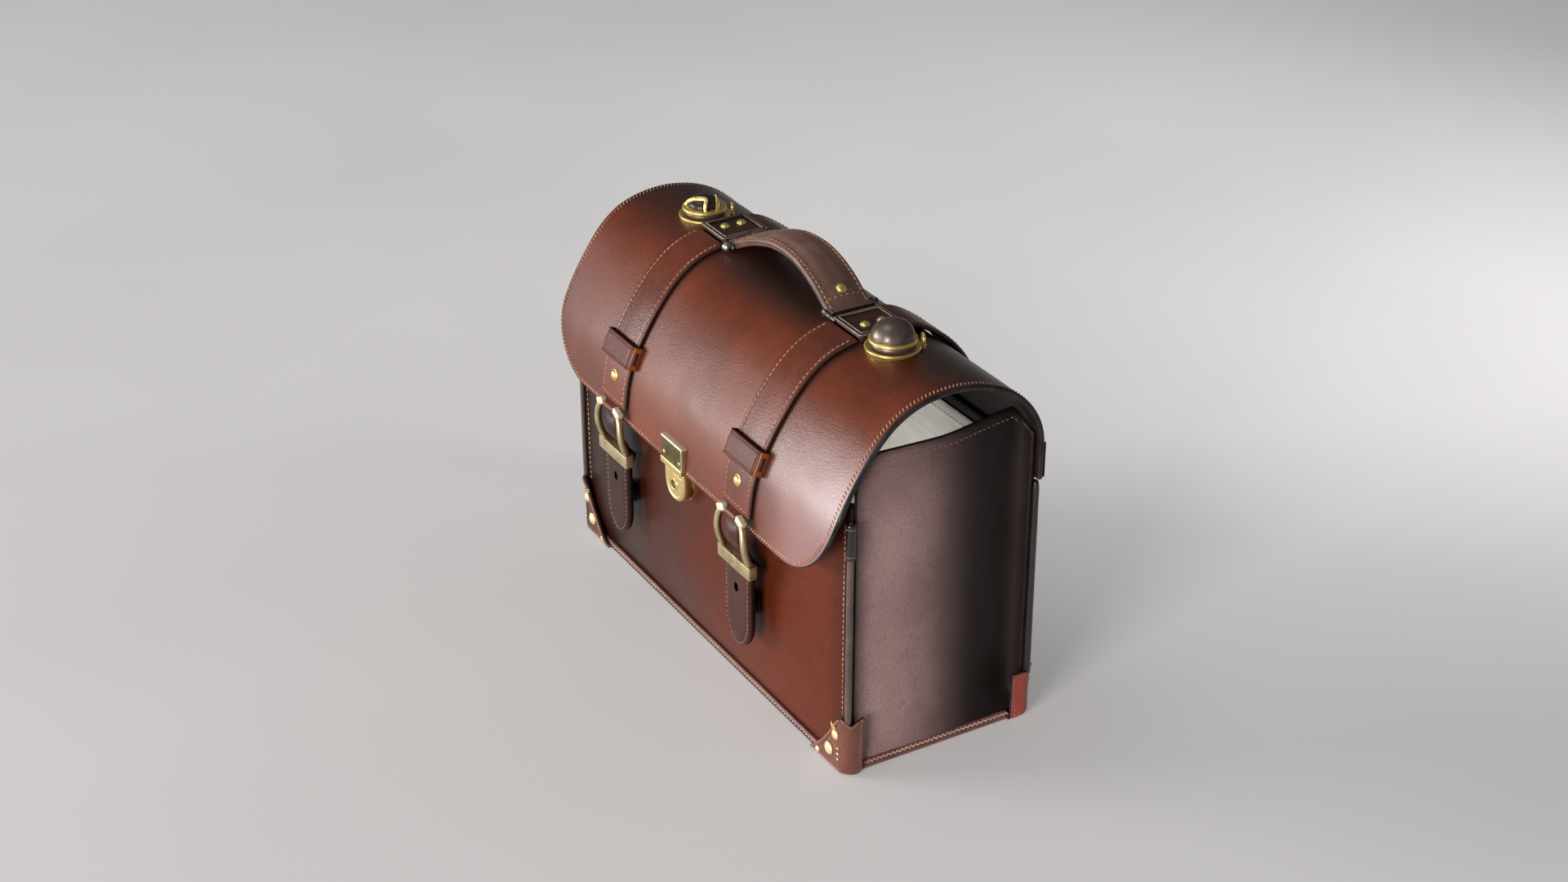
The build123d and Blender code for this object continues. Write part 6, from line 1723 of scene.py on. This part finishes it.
for side in (-1, 1):
    pr = [(0, -0.05), (5.4, -0.05), (5.8, 0.25), (8.4, 0.3), (9.0, 0.7), (9.0, 1.7), (5, 1.8), (5, 3.0), (0, 3.0)]
    pl.append(lathe("a", pr, M_BLUED, origin=(side * STRAP_XC, -88.95, 88.0), axis=(0, 1, 0), segments=48))
put(join("closure_plates_turned", pl), "body", "steel", "closure_plates")


# =====================================================================
# lock: frame pieces kept, edges eased
# =====================================================================
def ease(node, width, mat, angle=30):
    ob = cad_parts[node]
    ob.data.materials.clear()
    ob.data.materials.append(mat)
    md = ob.modifiers.new("eased_edges", "BEVEL")
    md.width = width * MM
    md.segments = 3
    md.limit_method = "ANGLE"
    md.angle_limit = math.radians(angle)
    md.use_clamp_overlap = True
    return ob


ease("lock_backplate", 0.2, M_PALE)
ease("lock_cylinder", 0.25, M_OLIVE)
ease("lock_bolt", 0.15, M_STEEL)

shield = []
half_o = through(np.array([(14.5, 155.2), (14.45, 149.0), (14.0, 142.5), (12.8, 137.9), (10.4, 134.0), (6.4, 130.9), (0, 129.6)]), 44)
for px_, pz_ in half_o:
    shield.append((LOCK_X + px_, pz_))
for px_, pz_ in half_o[::-1][1:]:
    shield.append((LOCK_X - px_, pz_))
shield = np.array(shield)


def shell_case():
    """Shield-shaped case with a rolled front edge, open at the top for the catch."""
    o = shield
    n = len(o)
    tn = np.gradient(o, axis=0)
    tn = unit(tn)
    inn = np.stack([-tn[:, 1], tn[:, 0]], 1)
    c = np.array([LOCK_X, 144.0])
    if np.mean(np.sum(inn * (c - o), axis=1)) < 0:
        inn = -inn
    inn[0] = (-1, 0); inn[-1] = (1, 0)
    rows_, yv = [], []
    for q, y in ((0, -91.95), (0, -98.6), (0.15, -99.5), (0.55, -100.3), (1.2, -100.85), (2.0, -101.0), (2.7, -100.95), (3.0, -100.7),
                 (3.3, -100.55), (5.0, -100.6), (8.0, -100.75), (11.0, -100.85)):
        p = o + inn * q
        p[:, 0] = np.where((o[:, 0] - LOCK_X) * (p[:, 0] - LOCK_X) < 0, LOCK_X, p[:, 0])
        p[:, 1] = np.minimum(p[:, 1], 155.2 - min(q, 1.0) * 0.5)
        rows_.append(p); yv.append(y)
    verts = []
    for p, y in zip(rows_, yv):
        verts += [(a, y, b) for a, b in p]
    faces = []
    for r in range(len(rows_) - 1):
        for q in range(n - 1):
            faces.append((r * n + q, r * n + q + 1, (r + 1) * n + q + 1, (r + 1) * n + q))
    r = len(rows_) - 1
    for q in range(n // 2):
        a, b, c2, d2 = r * n + q, r * n + q + 1, r * n + n - 2 - q, r * n + n - 1 - q
        if q < n // 2 - 1:
            faces.append((a, b, c2, d2))
    # inside wall
    base = len(verts)
    ir = [(1.3, -92.0), (1.3, -99.5)]
    for q, y in ir:
        p = o + inn * q
        verts += [(a, y, min(b, 153.8)) for a, b in p]
    for q in range(n - 1):
        faces.append((base + q, base + q + 1, base + n + q + 1, base + n + q))
        faces.append((q, q + 1, base + q + 1, base + q))
    # the top wall with its slot is made of blocks outside this function
    ob = make("a", verts, faces, M_PALE)
    fix_normals_keep(ob)
    return ob


case_parts = [shell_case()]
for (xa, xb, ya, yb2) in ((-14.5, -6.8, -99.95, -93.0), (6.8, 14.5, -99.95, -93.0), (-14.5, 14.5, -100.75, -99.9), (-14.5, 14.5, -93.2, -91.95)):
    case_parts.append(block("a", (LOCK_X + (xa + xb) / 2, (ya + yb2) / 2, 154.5), (xb - xa, yb2 - ya, 1.4), M_PALE, bevel=0.35))
case_parts.append(block("a", (LOCK_X, -100.95, 151.6), (25.6, 0.7, 1.3), M_PALE, bevel=0.3))
case_parts.append(lathe("a", [(3.4, -0.2), (5.0, -0.2), (5.1, 0.35), (4.6, 0.75), (3.9, 0.8), (3.45, 0.4), (3.4, -0.2)][:-1], M_PALE,
                        origin=(LOCK_X, -100.85, LOCK_Z), axis=(0, -1, 0), segments=48))
case = join("lock_case_shield", case_parts)
put(case, "body", "brass_pale", "lock_case")

# hasp plate: dark face with a bright bevelled frame, lip below and the catch
hp = []
hp.append(block("a", (LOCK_X, -99.7, 168.2), (31.0, 5.4, 20.4), M_OLIVE, bevel=0.9, segments=4))
hp.append(block("a", (LOCK_X, -99.9, 177.6), (31.2, 5.8, 2.2), M_TIP, bevel=0.95, segments=4))
hp.append(block("a", (LOCK_X + 14.9, -99.95, 168.6), (1.5, 5.6, 17.5), M_ANTIQUE, bevel=0.6, segments=3))
hp.append(block("a", (LOCK_X, -100.5, 158.7), (31.2, 6.6, 5.8), M_PALE, bevel=1.25, segments=4))
hp.append(block("a", (LOCK_X, -97.4, 156.15), (30.6, 6.6, 0.9), M_PALE, bevel=0.3))
# catch with an open notch for the bolt's nose
hp.append(block("a", (LOCK_X - 1.3, -94.8, 153.4), (9.4, 1.5, 7.0), M_STEEL, bevel=0.35))
hp.append(block("a", (LOCK_X + 4.6, -94.8, 155.55), (3.0, 1.5, 2.7), M_STEEL, bevel=0.25))
hp.append(block("a", (LOCK_X + 4.6, -94.8, 150.35), (3.0, 1.5, 0.7), M_STEEL, bevel=0.2))
for sx in (-1, 1):
    hp.append(dome_rivet("a", (LOCK_X + sx * 11.5, -102.35, 165.2), (0, -1, 0), 1.3, 0.7, M_ANTIQUE))
put(join("lock_plate_hasp", hp), "lid", "brass_antique", "lock_plate")


# =====================================================================
# studio
# =====================================================================
def floor_mat():
    m = Mat("studio_floor")
    cloud = m.noise(1.2, 3.0, 0.5)
    col = m.mix(m.ranged(cloud, 0.3, 0.7, 0.0, 1.0, True), lin((214, 212, 211)), lin((206, 204, 203)))
    m.link(col, m.b.inputs["Base Color"])
    m.b.inputs["Roughness"].default_value = 0.75
    m.b.inputs["Specular IOR Level"].default_value = 0.2
    m.link(col, m.b.inputs["Emission Color"])
    m.b.inputs["Emission Strength"].default_value = 0.305
    return m.m


fm = bpy.data.meshes.new("studio_floor")
cam_az = math.radians(59.7)
# a wide flat studio floor
prof = [(-7.0, 0.0), (-2.0, 0.0), (2.0, 0.0), (7.0, 0.0)]
away = np.array([-0.863, 0.504])           # from the camera towards the bag, on the floor
across = np.array([-away[1], away[0]])
vs, fs = [], []
for d, h in prof:
    for wdt in (-9.0, 9.0):
        q = away * d + across * wdt
        vs.append((q[0], q[1], h - 0.0002))
for r in range(len(prof) - 1):
    fs.append((r * 2, r * 2 + 1, r * 2 + 3, r * 2 + 2))
fm.from_pydata(vs, [], fs)
fm.materials.append(floor_mat())
fm.polygons.foreach_set("use_smooth", np.full(len(fm.polygons), True))
floor = bpy.data.objects.new("studio_floor", fm)
bpy.context.scene.collection.objects.link(floor)


def area(name, direction, dist, size, power, color=(1, 1, 1), target=(0, 0, 0.15), size_y=None):
    ld = bpy.data.lights.new(name, "AREA")
    ld.shape = "RECTANGLE"
    ld.size = size
    ld.size_y = size_y or size
    ld.energy = power
    ld.color = color
    ob = bpy.data.objects.new(name, ld)
    bpy.context.scene.collection.objects.link(ob)
    d = Vector(direction).normalized()
    ob.location = Vector(target) + d * dist
    ob.rotation_euler = (-d).to_track_quat("-Z", "Y").to_euler()
    return ob


area("key_low_left", (-0.560, -0.828, 0.13), 5.0, 2.3, 204, (1.0, 0.99, 0.985), size_y=1.5)
area("front_right", (0.47, -0.85, 0.19), 4.0, 1.5, 143, (1.0, 0.985, 0.98), size_y=1.4)
area("top_soft", (-0.2, -0.3, 0.93), 2.8, 1.3, 9, (1.0, 1.0, 1.0))
spot = bpy.data.lights.new("floor_behind", "SPOT")
spot.energy = 125
spot.spot_size = math.radians(46)
spot.spot_blend = 1.0
spot.shadow_soft_size = 0.3
spot_ob = bpy.data.objects.new("floor_behind", spot)
bpy.context.scene.collection.objects.link(spot_ob)
spot_ob.location = (1.0, 1.5, 1.35)
spot_ob.rotation_euler = (Vector((-0.25, 0.85, 0.0)) - spot_ob.location).to_track_quat("-Z", "Y").to_euler()
inner = bpy.data.lights.new("lining_glow", "POINT")
inner.energy = 0.22
inner.shadow_soft_size = 0.03
inner_ob = bpy.data.objects.new("lining_glow", inner)
bpy.context.scene.collection.objects.link(inner_ob)
inner_ob.location = (0.06, -0.03, 0.12)
world = bpy.data.worlds.new("studio_world")
bpy.context.scene.world = world
world.use_nodes = True
bg = world.node_tree.nodes["Background"]
bg.inputs[0].default_value = (0.82, 0.82, 0.83, 1)
bg.inputs[1].default_value = 0.15

cam_data = bpy.data.cameras.new("camera")
cam_data.lens = 56.25
cam_data.sensor_width = 36.0
cam_data.clip_end = 60.0
cam = bpy.data.objects.new("camera", cam_data)
bpy.context.scene.collection.objects.link(cam)
look = Vector((-0.0132, 0.0, 0.1448))
back = Vector((math.cos(math.radians(28.2)) * math.sin(math.radians(59.7)),
               -math.cos(math.radians(28.2)) * math.cos(math.radians(59.7)), math.sin(math.radians(28.2))))
cam.location = look + back * 1.8394
cam.rotation_euler = (-back).to_track_quat("-Z", "Y").to_euler()
bpy.context.scene.camera = cam
bpy.context.scene.view_settings.view_transform = "Standard"
bpy.context.scene.view_settings.look = "None"
